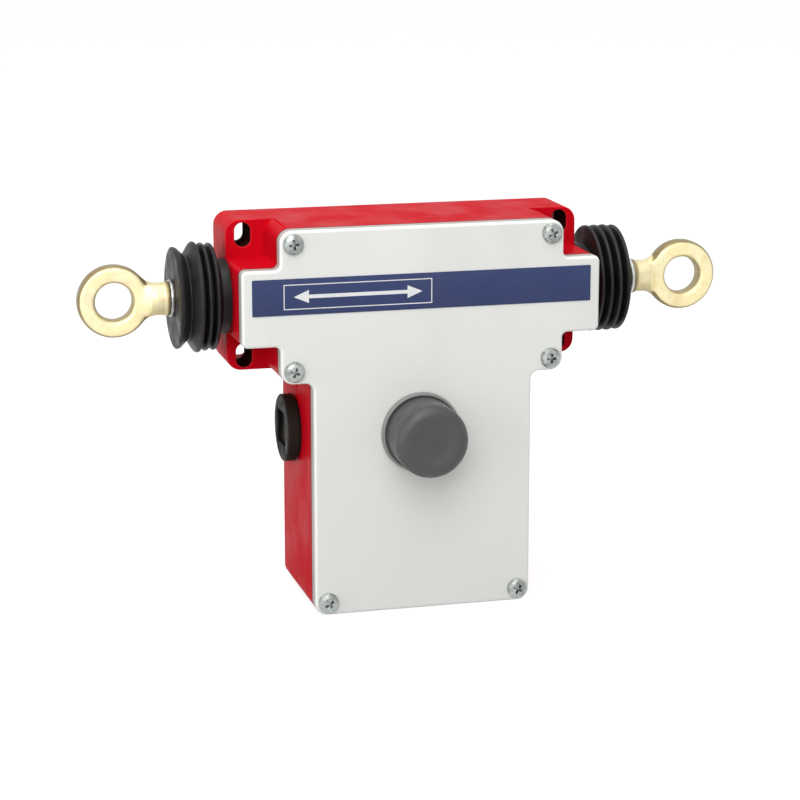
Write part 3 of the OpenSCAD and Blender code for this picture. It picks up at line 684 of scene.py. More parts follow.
def turned(profile, name, finish, body, replaces, crease, centre, along, rounding):
    """A finished turned piece."""
    bm = turned_bmesh(profile, centre, along, rounding)
    return make_piece(name, bm, finish, body, replaces, crease)


def carved(bm, cutter):
    """bm with cutter taken away from it, as a new bmesh. Both are freed."""
    objects = []
    for name, source in (("carved", bm), ("cutter", cutter)):
        face_outwards(source)
        objects.append(added(name, mesh_of(name, source)))
    cut = objects[0].modifiers.new("Cut", "BOOLEAN")
    cut.operation = "DIFFERENCE"
    cut.solver = "EXACT"
    cut.use_self = True
    cut.object = objects[1]
    result = evaluated_bmesh(objects[0])
    for leftover in objects:
        bpy.data.objects.remove(leftover)
    return result


def evaluated_bmesh(piece):
    """The mesh of an object with its modifiers applied."""
    graph = bpy.context.evaluated_depsgraph_get()
    graph.update()
    result = bmesh.new()
    result.from_mesh(piece.evaluated_get(graph).to_mesh())
    return result


def bar(low, high):
    """A bmesh box between two corners."""
    bm = bmesh.new()
    made = bmesh.ops.create_cube(bm, size=1)
    low, high = Vector(low), Vector(high)
    bmesh.ops.scale(bm, vec=high - low, verts=made["verts"])
    bmesh.ops.translate(bm, vec=(low + high) / 2, verts=made["verts"])
    return bm


def joined(parts):
    """Several bmeshes as one. They are freed."""
    whole = bmesh.new()
    whole.verts.layers.float.new("edge")
    for part in parts:
        mesh = mesh_of("part", part)
        whole.from_mesh(mesh)
        bpy.data.meshes.remove(mesh)
    return whole


def placed(bm, matrix):
    """A moved copy of a bmesh."""
    copy = bm.copy()
    bmesh.ops.transform(copy, matrix=matrix, verts=copy.verts[:])
    return copy


def finish_nodes(nodes, finish):
    """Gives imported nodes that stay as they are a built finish."""
    for node in nodes:
        materials = NODES[node].data.materials
        materials.clear()
        materials.append(finish_named(finish))


def span(node, side):
    """Where a node starts and ends along X, going away from the housing."""
    low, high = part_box(node)
    return (high.x, low.x) if side < 0 else (low.x, high.x)


def at_plane(edge, y):
    """Whether an edge lies at one depth."""
    return all(abs(vert.co.y - y) < ON_PLANE for vert in edge.verts)


# ---------------------------------------------------------------- housing and cover


class SWITCH_OT_housing(Operator):
    """Cast housing: every edge rounded, and finer where the gasket lies"""

    bl_idname = "switch.housing"
    bl_label = "Housing"

    step_margin, ear_width = 5 * MM, 15 * MM
    mouth_reach, wall_slack = 0.8 * MM, 0.1 * MM
    back_edge_share = 0.8

    def execute(self, context):
        bm = merged_copy("housing")
        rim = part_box("housing")[0].y
        ear = self.ear_front(bm, rim)
        round_edges(bm, [e for e in sharp_edges(bm) if at_plane(e, rim)], sizes().rim_edge, 2)
        step = [e for e in sharp_edges(bm) if at_plane(e, ear) and e.is_convex]
        round_edges(bm, [e for e in step if not self.at_slot(e)], sizes().casting_edge)
        mouths = [e for e in sharp_edges(bm) if at_plane(e, ear) and e.is_convex and self.at_slot(e)]
        round_edges(bm, mouths, sizes().slot_edge, 4)
        back = [e for e in sharp_edges(bm) if at_plane(e, 0)]
        round_edges(bm, back, sizes().casting_edge * self.back_edge_share)
        # Marks the slot walls, which the red paint darkens as painted shade.
        bore_shade = bm.verts.layers.float.new("bore_shade")
        for vert in bm.verts:
            if vert.co.y > ear and self.in_slot(vert.co):
                vert[bore_shade] = 1.0
        make_piece("housing_casting", bm, "red_paint", "body", ["housing"], 40, True)
        return {"FINISHED"}

    def ear_front(self, bm, rim):
        """The plane of the ears' front, the widest step between the back and the rim."""
        margin, outer = self.step_margin, COVER_HIGH.x - self.ear_width
        return min(v.co.y for v in bm.verts if rim + margin < v.co.y < -margin
                   and abs(v.co.x) > outer and abs(v.co.z) > ROD_RADIUS * 4)

    def at_slot(self, edge):
        """Whether an edge lies on a mounting slot's outline."""
        reach = SLOT_LENGTH / 2 + self.mouth_reach
        return all(math.hypot(abs(v.co.x) - SLOT_X, abs(v.co.z) - SLOT_Z) < reach for v in edge.verts)

    def in_slot(self, point):
        """Whether a point lies within a mounting slot or on its wall."""
        past = max(0.0, abs(abs(point.z) - SLOT_Z) - SLOT_LENGTH / 2 + SLOT_RADIUS)
        return math.hypot(abs(point.x) - SLOT_X, past) < SLOT_RADIUS + self.wall_slack


class SWITCH_OT_cover(Operator):
    """Front cover with a soft front edge, and its gasket"""

    bl_idname = "switch.cover"
    bl_label = "Cover"

    button_reach = 20 * MM
    screw_reach = 4 * MM

    def execute(self, context):
        bm = merged_copy("front_cover")
        button = ((CAP_LOW.x + CAP_HIGH.x) / 2, (CAP_LOW.z + CAP_HIGH.z) / 2)
        holes = [(button, self.button_reach)] + [(place, self.screw_reach) for place in screw_places()]
        front = [e for e in sharp_edges(bm) if at_plane(e, COVER_LOW.y) and not self.in_hole(e, holes)]
        round_edges(bm, front, sizes().cover_edge, 4)
        make_piece("cover_plate", bm, "pale_paint", "body", ["front_cover"], 50, True)
        finish_nodes(["cover_gasket"], "gasket")
        return {"FINISHED"}

    @staticmethod
    def in_hole(edge, holes):
        """Whether an edge belongs to the button's hole or to a screw's."""
        middle = (edge.verts[0].co + edge.verts[1].co) / 2
        return any(math.hypot(middle.x - x, middle.z - z) < reach for (x, z), reach in holes)


def screw_places():
    """Centres (x, z) of the six cover screws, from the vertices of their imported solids."""
    widest_head = 12 * MM
    groups = []
    for point in (vert.co for vert in NODES["cover_screws"].data.vertices):
        near = [g for g in groups if math.hypot(g[0].x - point.x, g[0].z - point.z) < widest_head]
        if near:
            near[0].append(point)
        else:
            groups.append([point])
    return [tuple((min(row) + max(row)) / 2 for row in ([p.x for p in g], [p.z for p in g]))
            for g in groups]


class SWITCH_OT_cover_screws(Operator):
    """Six pan-head screws with a cross recess, each turned a little differently"""

    bl_idname = "switch.cover_screws"
    bl_label = "Cover screws"

    # As shares of the head's radius and height
    shaft_root, shaft_tip = 0.5, 0.42
    head_outline = [(0, 0.3), (0, 1), (-0.38, 1), (-0.72, 0.86), (-0.92, 0.6), (-1, 0.3), (-1, 0)]
    slot_half_length, slot_half_width, slot_top, slot_foot = 0.60, 0.14, -1.3, -0.25
    slot_narrowing = (0.45, 1, 0.7)
    first_turn, next_turn = 0.35, 1.1

    def execute(self, context):
        low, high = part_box("cover_screws")
        seat = COVER_LOW.y
        rise = seat - low.y
        places = sorted(screw_places())
        radius = high.x - places[-1][0]
        head = carved(self.pan_head(radius, rise), self.cross(radius, rise))
        shaft = bmesh.new()
        bmesh.ops.create_cone(shaft, cap_ends=True, segments=24, radius1=self.shaft_root * radius,
                              radius2=self.shaft_tip * radius, depth=high.y - seat)
        bmesh.ops.rotate(shaft, verts=shaft.verts[:], matrix=Matrix.Rotation(-math.pi / 2, 3, "X"))
        bmesh.ops.translate(shaft, verts=shaft.verts[:], vec=(0, (high.y - seat) / 2, 0))
        screw = joined([head, shaft])
        copies = []
        for turn, (x, z) in enumerate(places):
            spin = Matrix.Rotation(self.first_turn + self.next_turn * turn, 4, "Y")
            copies.append(placed(screw, Matrix.Translation((x, seat, z)) @ spin))
        screw.free()
        make_piece("cover_screw_set", joined(copies), "screw_steel", "body",
                   ["cover_screws"], 30)
        return {"FINISHED"}

    def pan_head(self, radius, rise):
        """A low dome with a rounded rim, its seat at y = 0."""
        bm = bmesh.new()
        verts = [bm.verts.new((0, y * rise, r * radius)) for y, r in self.head_outline]
        for a, b in zip(verts, verts[1:]):
            bm.edges.new((a, b))
        bmesh.ops.subdivide_edges(bm, edges=bm.edges[:], cuts=2, smooth=0)
        bmesh.ops.spin(bm, geom=bm.verts[:] + bm.edges[:], cent=(0, 0, 0), axis=(0, 1, 0),
                       angle=2 * math.pi, steps=48, use_merge=True)
        merge(bm)
        close_ends(bm)
        return bm

    def cross(self, radius, rise):
        """The driver's cross: two tapered bars that narrow towards the bottom."""
        parts = []
        length, width = self.slot_half_length * radius, self.slot_half_width * radius
        for turn in (0, math.pi / 2):
            bm = bar((-length, self.slot_top * rise, -width), (length, self.slot_foot * rise, width))
            bottom = [v for v in bm.verts if v.co.y > -0.5 * rise]
            bmesh.ops.scale(bm, vec=self.slot_narrowing, verts=bottom)
            bmesh.ops.rotate(bm, verts=bm.verts[:], matrix=Matrix.Rotation(turn, 3, "Y"))
            parts.append(bm)
        return joined(parts)


class SWITCH_OT_band(Operator):
    """Blue film across the cover, with a framed two-way arrow for the pull"""

    bl_idname = "switch.band"
    bl_label = "Band"

    corner, film_edge = 0.5 * MM, 0.12 * MM
    ink_height, line_width = 0.04 * MM, 0.45 * MM
    panel_start, panel_end, panel_half_height = 15.5 * MM, 90 * MM, 6.2 * MM
    arrow_margin, head_length, head_half_width, shaft_half_width = 5 * MM, 7.5 * MM, 3.2 * MM, 0.9 * MM

    def execute(self, context):
        film = bar(BAND_LOW, BAND_HIGH)
        film.verts.layers.float.new("edge")
        corners = [e for e in film.edges if abs(e.verts[0].co.y - e.verts[1].co.y) > 0.1 * MM]
        round_edges(film, corners, self.corner)
        front = [e for e in sharp_edges(film, 60) if at_plane(e, BAND_LOW.y)]
        round_edges(film, front, self.film_edge, 2)
        make_piece("band_film", film, "blue_film", "body", ["name_band"])
        ink = joined([self.frame(), self.arrow()])
        make_piece("band_print", ink, "white_print", "body")
        return {"FINISHED"}

    def panel(self):
        """Low and high corners of the printed frame, on the left half of the band."""
        middle, half = (BAND_LOW.z + BAND_HIGH.z) / 2, self.panel_half_height
        start, end = BAND_LOW.x + self.panel_start, BAND_LOW.x + self.panel_end
        return (start, middle - half), (end, middle + half)

    def frame(self):
        (x0, z0), (x1, z1) = self.panel()
        bm = bmesh.new()
        verts = [bm.verts.new((x, BAND_LOW.y, z)) for x, z in ((x0, z0), (x1, z0), (x1, z1), (x0, z1))]
        face = bm.faces.new(verts)
        bm.normal_update()
        bmesh.ops.inset_region(bm, faces=[face], thickness=self.line_width, use_boundary=True,
                               use_even_offset=True)
        bmesh.ops.delete(bm, geom=[face], context="FACES_ONLY")
        self.raise_ink(bm)
        return bm

    def arrow(self):
        (x0, z0), (x1, z1) = self.panel()
        middle, reach = (x0 + x1) / 2, (x1 - x0) / 2 - self.arrow_margin
        level, neck = (z0 + z1) / 2, reach - self.head_length
        right = [(neck, self.shaft_half_width), (neck, self.head_half_width), (reach, 0)]
        upper = [(-x, z) for x, z in reversed(right[:2])] + right
        lower = [(x, -z) for x, z in reversed(right[:2])] + [(-x, -z) for x, z in right[:2]]
        bm = bmesh.new()
        outline = upper + lower + [(-reach, 0)]
        bm.faces.new([bm.verts.new((middle + x, BAND_LOW.y, level + z)) for x, z in outline])
        self.raise_ink(bm)
        return bm

    def raise_ink(self, bm):
        """Gives flat print a thickness of its own, standing proud of the film."""
        made = bmesh.ops.extrude_face_region(bm, geom=bm.faces[:])
        moved = [g for g in made["geom"] if isinstance(g, bmesh.types.BMVert)]
        bmesh.ops.translate(bm, vec=(0, -self.ink_height, 0), verts=moved)


# ---------------------------------------------------------------- rods, boots and eyes


class SWITCH_OT_boots(Operator):
    """Rubber bellows with moulded folds, which stretch with the rods"""

    bl_idname = "switch.boots"
    bl_label = "Bellows"

    # All in millimetres. Each fold: distance from the arm's ring to the crest, radius of the crest,
    # radius of the groove after it
    folds = {
        "left": [(3.2, 26.7, 21.2), (7.2, 26.9, 21.2), (11.2, 27.6, 21.6), (21.2, 25.3, None)],
        "right": [(3.0, 27.3, 21.8), (7.7, 27.3, 21.8), (12.4, 27.3, 21.8), (17.1, 27.0, None)],
    }
    foot_outside = [(0, 13), (0, 17.6), (1.0, 17.8)]
    foot_inside = [(2.2, 15.6), (2.2, 13)]
    crest_half, crest_wall, least_crest = 0.95, 2.8, 24
    groove_half, groove_wall, groove_edge = 0.3, 1.5, 0.28
    rim_reach, disc_wall = 1.1, 1.9
    lip_gap, lip_depth, lip_wall, lip_front, lip_back = 0.3, 3.4, 2.2, 3.2, 3.6

    def execute(self, context):
        for name, side in SIDES.items():
            self.bellows(name, side)
            finish_nodes([name + "_boot_ring"], "black_rubber")
        return {"FINISHED"}

    def bellows(self, name, side):
        start, end = span(name + "_boot", side)
        depth = abs(end - start) / MM
        outer, inner = [], []
        folds = self.folds[name]
        for index, (crest, radius, groove) in enumerate(folds):
            outer += [(crest - self.crest_half, radius), (crest + self.crest_half, radius)]
            if groove is None:
                continue
            middle = (crest + folds[index + 1][0]) / 2
            outer += [(middle - self.groove_half, groove), (middle + self.groove_half, groove)]
            inner += [(crest, radius - self.crest_wall), (middle, groove - self.groove_wall)]
        rim = min(depth, folds[-1][0] + self.rim_reach)
        lip, back = ROD_RADIUS / MM + self.lip_gap, depth - self.lip_depth
        front = [(depth, lip + self.lip_front), (depth, lip), (back, lip), (back, lip + self.lip_wall),
                 (depth - self.disc_wall, lip + self.lip_back),
                 (rim - self.disc_wall, folds[-1][1] - self.crest_wall)]
        outline = self.foot_outside + outer + front + inner[::-1] + self.foot_inside
        rounding = [(index, sizes().fold_edge if radius > self.least_crest else self.groove_edge * MM)
                    for index, (_, radius) in enumerate(outer, len(self.foot_outside))]
        profile = [(start + side * place * MM, radius * MM) for place, radius in outline]
        piece = turned(profile, name + "_bellows", "black_rubber", None,
                       [name + "_boot"], 60, (0, ROD_Y, ROD_Z), "X", rounding)
        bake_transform(piece, "body", name + "_pull", start=(start, ROD_Y, ROD_Z), end=(end, ROD_Y, ROD_Z))


class SWITCH_OT_rods(Operator):
    """Pull rods, washers, adjusting nuts, spring plates, cams and guide bushes"""

    bl_idname = "switch.rods"
    bl_label = "Pull rods"

    def execute(self, context):
        for name in SIDES:
            pull = name + "_pull"
            softened(name + "_pull_rod", "yellow_zinc", pull)
            softened(name + "_eye_washer", "bright_steel", pull)
            softened(name + "_spring_plate", "bright_steel", pull)
            softened(name + "_adjusting_nut", "turned_steel", pull)
            softened(name + "_cam", "turned_steel", pull)
            softened(name + "_guide_bush", "bronze", "body")
        return {"FINISHED"}


class SWITCH_OT_eyes(Operator):
    """Forged eye bolts: a ring that flows into its neck, with a collar at the washer"""

    bl_idname = "switch.eyes"
    bl_label = "Eye bolts"

    ring_radius = 18.0 * MM
    hole_radius = 9.3 * MM
    thickness = 9.5 * MM
    section_round = 2.6 * MM
    shank_radius = 4.95 * MM
    washer_gap = 0.1 * MM
    # The joint between ring and neck: how far each smoothing spreads, and its passes
    fillets = ((3.5 * MM, 14), (6.5 * MM, 10))
    fillet_lead, hole_margin = 1.5 * MM, 2.5 * MM
    # Each painted shade: how far it reaches, and over which width it fades
    rim_shade = (1.9 * MM, 1.2 * MM)
    hole_shade = (1.8 * MM, 1.5 * MM)
    collar_shade = (3.0 * MM, 1.2 * MM)
    neck_start = 0.4 * MM
    inner_share, neck_share, under_share = 0.7, 0.26, 0.4

    def execute(self, context):
        for name, side in SIDES.items():
            self.eye(name, side)
        return {"FINISHED"}

    def eye(self, name, side):
        shank_end, tip = span(name + "_eye_bolt", side)
        shoulder = span(name + "_eye_washer", side)[1] + side * self.washer_gap
        centre = tip - side * self.ring_radius
        rough = joined([self.ring(centre), self.neck(shoulder, centre, side)])
        skin = self.forged(rough, centre, side)
        whole = joined([skin, self.shank(shank_end, shoulder, side)])
        self.painted_shade(whole, centre, shoulder)
        make_piece(name + "_eye", whole, "yellow_zinc", name + "_eye",
                   [name + "_eye_bolt"], 60)

    def ring(self, centre):
        width = self.ring_radius - self.hole_radius
        bm = bmesh.new()
        middle = centre + self.hole_radius + width / 2
        corners = [(middle + sx * width / 2, ROD_Y + sy * self.thickness / 2)
                   for sx, sy in ((-1, -1), (1, -1), (1, 1), (-1, 1))]
        verts = [bm.verts.new((x, y, ROD_Z)) for x, y in corners]
        bm.faces.new(verts)
        bmesh.ops.bevel(bm, geom=verts, offset=self.section_round, segments=6, profile=0.5,
                        affect="VERTICES", material=-1)
        bmesh.ops.delete(bm, geom=bm.faces[:], context="FACES_ONLY")
        bmesh.ops.spin(bm, geom=bm.verts[:] + bm.edges[:], cent=(centre, ROD_Y, ROD_Z), axis=(0, 1, 0),
                       angle=2 * math.pi, steps=sizes().turn_steps, use_merge=True)
        return bm

    def neck(self, shoulder, centre, side):
        """A round neck with a collar, which spreads and flattens where it enters the ring."""
        reach = (abs(centre - shoulder) - self.ring_radius) / MM
        # Distance from the shoulder, half height and half depth, in millimetres
        outline = [(0, 8.3, 8.3), (0.5, 8.8, 8.8), (1.6, 8.8, 8.8), (2.3, 8.15, 8.15),
                   (reach - 2.5, 8.15, 8.15), (reach - 0.5, 8.5, 7.7), (reach + 1.5, 9.6, 6.4),
                   (reach + 3.4, 11.0, 5.2), (reach + 5.0, 12.3, 4.3), (reach + 5.6, 12.4, 3.4)]
        bm = bmesh.new()
        loops = []
        for x, tall, deep in outline:
            made = bmesh.ops.create_circle(bm, cap_ends=False, segments=64, radius=MM)
            bmesh.ops.rotate(bm, verts=made["verts"], matrix=Matrix.Rotation(math.pi / 2, 3, "Y"))
            bmesh.ops.scale(bm, verts=made["verts"], vec=(1, deep, tall))
            bmesh.ops.translate(bm, verts=made["verts"], vec=(shoulder + side * x * MM, ROD_Y, ROD_Z))
            loops.append({e for v in made["verts"] for e in v.link_edges})
        for first, second in zip(loops, loops[1:]):
            bmesh.ops.bridge_loops(bm, edges=list(first | second))
        close_ends(bm)
        face_outwards(bm)
        return bm

    def forged(self, rough, centre, side):
        """One skin over the ring and neck, with the joint between them drawn into a fillet."""
        merge(rough)
        face_outwards(rough)
        blank = added("rough_eye", mesh_of("rough_eye", rough))
        skin = blank.modifiers.new("Skin", "REMESH")
        skin.mode = "VOXEL"
        skin.voxel_size = sizes().eye_voxel
        bm = evaluated_bmesh(blank)
        bpy.data.objects.remove(blank)
        self.relax(bm, bm.verts[:], 2)
        root, clear = centre - side * self.ring_radius, self.hole_radius + self.hole_margin
        for spread, passes in self.fillets:
            near = [v for v in bm.verts if abs(v.co.x - root - side * self.fillet_lead) < spread
                    and math.hypot(v.co.x - centre, v.co.z - ROD_Z) > clear]
            self.relax(bm, near, passes)
        return bm

    @staticmethod
    def relax(bm, verts, passes):
        for _ in range(passes):
            bmesh.ops.smooth_vert(bm, verts=verts, factor=0.5, use_axis_x=True, use_axis_y=True,
                                  use_axis_z=True)

    def painted_shade(self, bm, centre, shoulder):
        """Marks painted shade on the plating: round the ring's outer side, inside its hole, at the collar
        and under the neck, with a darker tone over the whole neck.
        """
        mark = bm.verts.layers.float["edge"]
        bm.normal_update()
        for vert in bm.verts:
            x, z = vert.co.x - centre, vert.co.z - ROD_Z
            radial = math.hypot(x, z)
            outward = (x * vert.normal.x + z * vert.normal.z) / radial
            # Painted shade where the ring's rounded outer side turns away.
            rim = self.fading(radial - self.ring_radius, self.rim_shade) * held(outward * 3 - 1)
            hole = self.fading(self.hole_radius - radial, self.hole_shade) * self.inner_share
            collar = self.fading(-abs(vert.co.x - shoulder), self.collar_shade) * self.inner_share
            neck = 0
            # On the neck: a darker tone all over, and painted shade on its underside.
            if radial > self.ring_radius + self.neck_start:
                rim = 0
                neck = self.neck_share + max(0, -vert.normal.z) * self.under_share
            vert[mark] = held(max(rim, hole, collar, neck))

    @staticmethod
    def fading(past, painted_shade):
        """How strong a painted shade is at a distance past its line, above 1 well within it."""
        reach, fade = painted_shade
        return (past + reach) / fade

    def shank(self, end, shoulder, side):
        bm = bmesh.new()
        bmesh.ops.create_cone(bm, cap_ends=True, segments=48, radius1=self.shank_radius,
                              radius2=self.shank_radius, depth=abs(shoulder - end) + MM)
        bmesh.ops.rotate(bm, verts=bm.verts[:], matrix=Matrix.Rotation(math.pi / 2, 3, "Y"))
        middle = (shoulder + side * MM + end) / 2
        bmesh.ops.translate(bm, verts=bm.verts[:], vec=(middle, ROD_Y, ROD_Z))
        return bm


class SWITCH_OT_springs(Operator):
    """Coil springs, which shorten with the rods and with the button"""

    bl_idname = "switch.springs"
    bl_label = "Springs"

    # Radius of the coil, radius of the wire and turns
    rod_coil = (12 * MM, 1.25 * MM, 8)
    button_coil = (8 * MM, 0.6 * MM, 6)
    steps_a_turn, wire_sides = 40, 14

    def execute(self, context):
        for name, side in SIDES.items():
            node = name + "_rod_spring"
            moving, fixed = span(node, side)
            start, end = (Vector((x, ROD_Y, ROD_Z)) for x in (moving, fixed))
            piece = self.coil(node, start, end, *self.rod_coil)
            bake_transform(piece, "body", name + "_pull", start=(fixed, ROD_Y, ROD_Z),
                     end=(moving, ROD_Y, ROD_Z))
        low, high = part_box("button_spring")
        centre = Vector(((low.x + high.x) / 2, 0, (low.z + high.z) / 2))
        start, end = (centre + Vector((0, y, 0)) for y in (high.y, low.y))
        piece = self.coil("button_spring", start, end, *self.button_coil)
        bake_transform(piece, "body", "reset_button", start=(centre.x, high.y, centre.z),
                 end=(centre.x, low.y, centre.z))
        return {"FINISHED"}

    def coil(self, node, start, end, radius, wire, turns):
        """A wire's round section, spun along a helix from start to end."""
        along = (end - start).normalized()
        across = along.orthogonal().normalized()
        length = (end - start).length - 2 * wire
        steps = turns * self.steps_a_turn
        bm = bmesh.new()
        made = bmesh.ops.create_circle(bm, cap_ends=False, segments=self.wire_sides, radius=wire)
        facing = along.cross(across).to_track_quat("Z", "Y").to_matrix()
        bmesh.ops.rotate(bm, verts=made["verts"], matrix=facing)
        bmesh.ops.translate(bm, verts=made["verts"], vec=start + along * wire + across * radius)
        bmesh.ops.spin(bm, geom=bm.verts[:] + bm.edges[:], cent=start, axis=along,
                       dvec=along * (length / steps), angle=2 * math.pi * turns, steps=steps)
        close_ends(bm)
        return make_piece(node + "_coil", bm, "spring_steel", None, [node], 60)


# ---------------------------------------------------------------- plugs, button and inside


class SWITCH_OT_plugs(Operator):
    """Blanking plugs of the two cable entries, with their seals"""

    bl_idname = "switch.plugs"
    bl_label = "Entry plugs"

    core_radius, core_chamfer = 9.9 * MM, 1.0 * MM
    flange_back_edge, flange_front_edge = 0.5 * MM, 0.9 * MM
    socket_half, socket_depth, socket_corner = 8.5 * MM, 2.0 * MM, 1.6 * MM
    mouth_edge = 0.4 * MM

    def execute(self, context):
        for name, side in SIDES.items():
            self.plug(name, side)
        finish_nodes([name + "_plug_seal" for name in SIDES], "gasket")
        return {"FINISHED"}

    def plug(self, name, side):
        """A turned flange with a square socket in its face, and its threaded core."""
        low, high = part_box(name + "_entry_plug")
        end, face = span(name + "_entry_plug", side)
        seat = span(name + "_plug_seal", side)[1]
        centre = Vector((0, (low.y + high.y) / 2, (low.z + high.z) / 2))
        radius, core, chamfer = (high.z - low.z) / 2, self.core_radius, self.core_chamfer
        outline = [(end, 0), (end, core - chamfer), (end + side * chamfer, core), (seat, core),
                   (seat, radius), (face, radius), (face, 0)]
        edges = [(4, self.flange_back_edge), (5, self.flange_front_edge)]
        bm = turned_bmesh(outline, centre, "X", edges)
        half, depth = self.socket_half, self.socket_depth
        socket = bar((face - side * depth, centre.y - half, centre.z - half),
                     (face + side * depth, centre.y + half, centre.z + half))
        corners = [e for e in socket.edges if abs(e.verts[0].co.x - e.verts[1].co.x) > depth]
        round_edges(socket, corners, self.socket_corner, 4)
        bm = carved(bm, socket)
        merge(bm)
        inside = radius - 2 * MM
        mouth = [e for e in sharp_edges(bm) if all(
            abs(v.co.x - face) < 0.02 * MM and (v.co - centre).yz.length < inside for v in e.verts)]
        round_edges(bm, mouth, self.mouth_edge, 2)
        make_piece(name + "_plug", bm, "black_plastic", "body",
                   [name + "_entry_plug"], 50)


class SWITCH_OT_button(Operator):
    """Reset button: a dished cap in a grey ring, with its stem and nut"""

    bl_idname = "switch.button"
    bl_label = "Reset button"

    # The dish starts and ends this far in from the cap's side
    dish_depth, dish_start, dish_end = 0.9 * MM, 7.0 * MM, 10.2 * MM
    chamfer, wall, floor_depth = 3.0 * MM, 2.4 * MM, 5 * MM
    roundings = [(1, 1.4 * MM), (2, 1.4 * MM), (3, 1.6 * MM), (4, 1.6 * MM), (5, 0.4 * MM)]

    def execute(self, context):
        front, back = CAP_LOW.y, CAP_HIGH.y
        radius = (CAP_HIGH.x - CAP_LOW.x) / 2
        dish, floor, inner = front + self.dish_depth, front + self.floor_depth, radius - self.wall
        outline = [
            (dish, 0), (dish, radius - self.dish_end), (front, radius - self.dish_start),
            (front, radius - self.chamfer), (front + self.chamfer, radius),
            (back, radius), (back, inner), (floor, inner), (floor, 0)]
        centre = ((CAP_LOW.x + CAP_HIGH.x) / 2, 0, (CAP_LOW.z + CAP_HIGH.z) / 2)
        turned(outline, "reset_cap", "cap_plastic", "reset_button", ["button_cap"], 50,
               centre, "Y", self.roundings)
        softened("button_bezel", "ring_plastic", "body")
        softened("button_stem", "turned_steel", "reset_button", 40)
        softened("bezel_nut", "bright_steel", "body")
        finish_nodes(["bezel_seal"], "gasket")
        finish_nodes(["stem_clip"], "spring_steel")
        return {"FINISHED"}


class SWITCH_OT_inside(Operator):
    """Bracket, contact blocks, latch and earth terminal behind the cover"""

    bl_idname = "switch.inside"
    bl_label = "Inside"

    def execute(self, context):
        softened("mechanism_bracket", "galvanised", "body")
        softened("latch_lever", "galvanised", "latch")
        for name in SIDES:
            softened(name + "_contact_block", "block_plastic", "body")
            finish_nodes([name + "_plunger"], "black_plastic")
        screws = ["block_screws", "terminal_screws", "bracket_screws", "earth_screw"]
        finish_nodes(screws, "bright_steel")
        finish_nodes(["latch_pin"], "turned_steel")
        finish_nodes(["pin_clips"], "spring_steel")
        finish_nodes(["earth_clamp"], "bronze")
        return {"FINISHED"}


# ---------------------------------------------------------------- stage


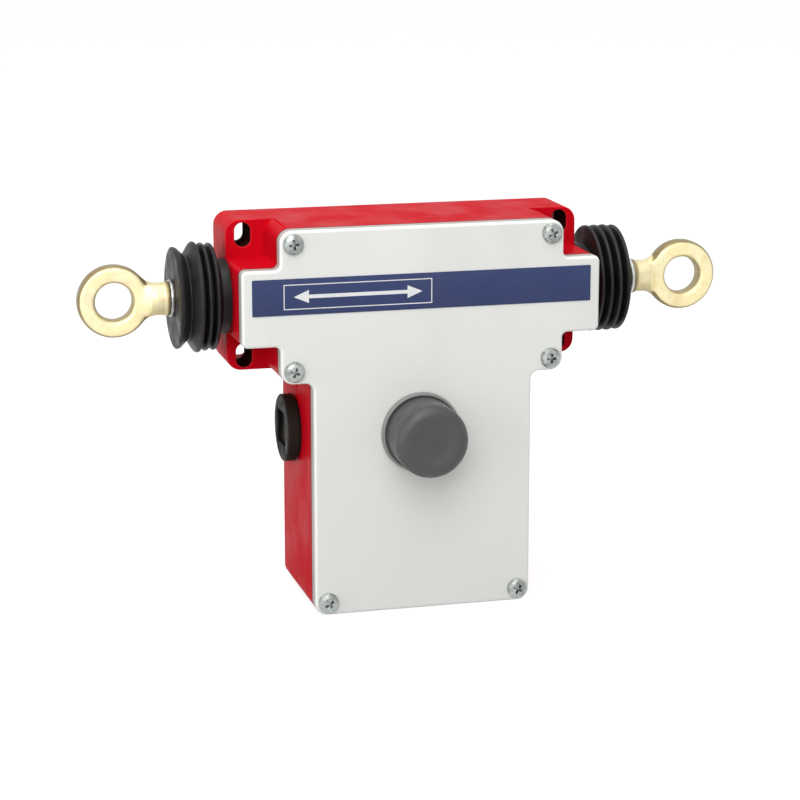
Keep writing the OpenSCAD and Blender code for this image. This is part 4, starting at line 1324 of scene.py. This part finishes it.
class SWITCH_OT_stage(Operator):
    """Pale floor and backdrop, soft lights and the camera"""

    bl_idname = "switch.stage"
    bl_label = "Stage"

    floor_size, floor_gap = 4, 0.2 * MM
    # The floor's glow where it lights the object, and where it is seen
    floor_glow = (0.1, 0.80)
    # Name, place, width and power of each lamp
    lamps = (
        ("key", (-0.55, -1.45, 1.0), 1.4, 16.5),
        ("top", (-0.25, -0.25, 1.5), 1.4, 11),
        ("fill", (-1.5, -0.7, 0.15), 1.0, 6),
    )
    lamp_target = (0, -0.03, -0.05)

    def execute(self, context):
        stage = context.scene.switch_stage
        self.floor()
        self.world(stage.sky)
        for lamp in self.lamps:
            self.lamp(*lamp)
        camera = added("camera", bpy.data.cameras.new("camera"))
        camera.location = stage.camera_place
        camera.rotation_euler = self.aimed(stage.camera_place, stage.camera_target)
        camera.data.lens = stage.lens
        camera.data.sensor_width = SENSOR_WIDTH
        camera.data.clip_start = 0.01
        context.scene.camera = camera
        context.scene.view_settings.view_transform = "Standard"
        return {"FINISHED"}

    def floor(self):
        bm = bmesh.new()
        bmesh.ops.create_grid(bm, x_segments=1, y_segments=1, size=self.floor_size)
        bmesh.ops.translate(bm, verts=bm.verts[:], vec=(0, 0, CAD_BOUNDS[0][2] - self.floor_gap))
        floor = added("floor", mesh_of("floor", bm))
        floor.data.materials.append(self.floor_paper())

    def floor_paper(self):
        """White paper that shows the shadow and fades into the background."""
        finish = Finish("floor_paper", (0.38, 0.38, 0.38, 1), 0.9, specular=0.0)
        finish.blotches(40, 3, 0.4, 0.7, 0.3, (0.36, 0.36, 0.36, 1))
        finish.set("Emission Color", (1, 1, 1, 1))
        glow = finish.between(self.seen_rays(finish.tree), 0, 1, *self.floor_glow)
        finish.link(glow, finish.shader.inputs["Emission Strength"])
        return finish.material

    @staticmethod
    def seen_rays(tree):
        """1 for the rays that show the background: to the camera, in gloss and through glass."""
        rays = tree.nodes.new("ShaderNodeLightPath").outputs
        return highest(tree, rays["Is Camera Ray"], rays["Is Glossy Ray"], rays["Is Transmission Ray"])

    def world(self, strength):
        """Even light on the object, and plain white for the camera and in reflections."""
        world = bpy.data.worlds.new("studio")
        bpy.context.scene.world = world
        world.use_nodes = True
        tree = world.node_tree
        light = tree.nodes["Background"]
        light.inputs["Color"].default_value = (0.98, 0.99, 1, 1)
        light.inputs["Strength"].default_value = strength
        white = tree.nodes.new("ShaderNodeBackground")
        white.inputs["Color"].default_value = (1, 1, 1, 1)
        white.inputs["Strength"].default_value = 1
        mix = tree.nodes.new("ShaderNodeMixShader")
        tree.links.new(self.seen_rays(tree), mix.inputs[0])
        tree.links.new(light.outputs[0], mix.inputs[1])
        tree.links.new(white.outputs[0], mix.inputs[2])
        tree.links.new(mix.outputs[0], tree.nodes["World Output"].inputs["Surface"])

    def lamp(self, name, place, width, power):
        light = bpy.data.lights.new(name, "AREA")
        light.shape = "SQUARE"
        light.size = width
        light.energy = power
        holder = added(name, light)
        holder.location = place
        holder.rotation_euler = self.aimed(place, self.lamp_target)

    @staticmethod
    def aimed(place, target):
        """The turn that points a lamp or the camera at a target."""
        return (Vector(target) - Vector(place)).to_track_quat("-Z", "Y").to_euler()


# ---------------------------------------------------------------- add-on


PIECES = (
    SWITCH_OT_housing, SWITCH_OT_cover, SWITCH_OT_cover_screws, SWITCH_OT_band, SWITCH_OT_boots,
    SWITCH_OT_rods, SWITCH_OT_eyes, SWITCH_OT_springs, SWITCH_OT_plugs, SWITCH_OT_button,
    SWITCH_OT_inside, SWITCH_OT_stage)


class SWITCH_PT_panel(Panel):
    """Lists the pieces in the 3D view's sidebar"""

    bl_label = "Rope Pull Switch"
    bl_idname = "SWITCH_PT_panel"
    bl_space_type = "VIEW_3D"
    bl_region_type = "UI"
    bl_category = "Switch"

    def draw(self, context):
        for piece in PIECES:
            self.layout.operator(piece.bl_idname)
        scene = context.scene
        for settings in (scene.switch_sizes, scene.switch_colours, scene.switch_stage):
            for name in settings.bl_rna.properties.keys():
                if name not in ("rna_type", "name"):
                    self.layout.prop(settings, name)


CLASSES = (SwitchSizes, SwitchColours, SwitchStage, *PIECES, SWITCH_PT_panel)


def register():
    for made in CLASSES:
        bpy.utils.register_class(made)
    bpy.types.Scene.switch_sizes = PointerProperty(type=SwitchSizes)
    bpy.types.Scene.switch_colours = PointerProperty(type=SwitchColours)
    bpy.types.Scene.switch_stage = PointerProperty(type=SwitchStage)


def unregister():
    del bpy.types.Scene.switch_stage
    del bpy.types.Scene.switch_colours
    del bpy.types.Scene.switch_sizes
    for made in reversed(CLASSES):
        bpy.utils.unregister_class(made)


def main():
    register()
    for piece in PIECES:
        group, name = piece.bl_idname.split(".")
        getattr(getattr(bpy.ops, group), name)()


if __name__ == "__main__":
    main()
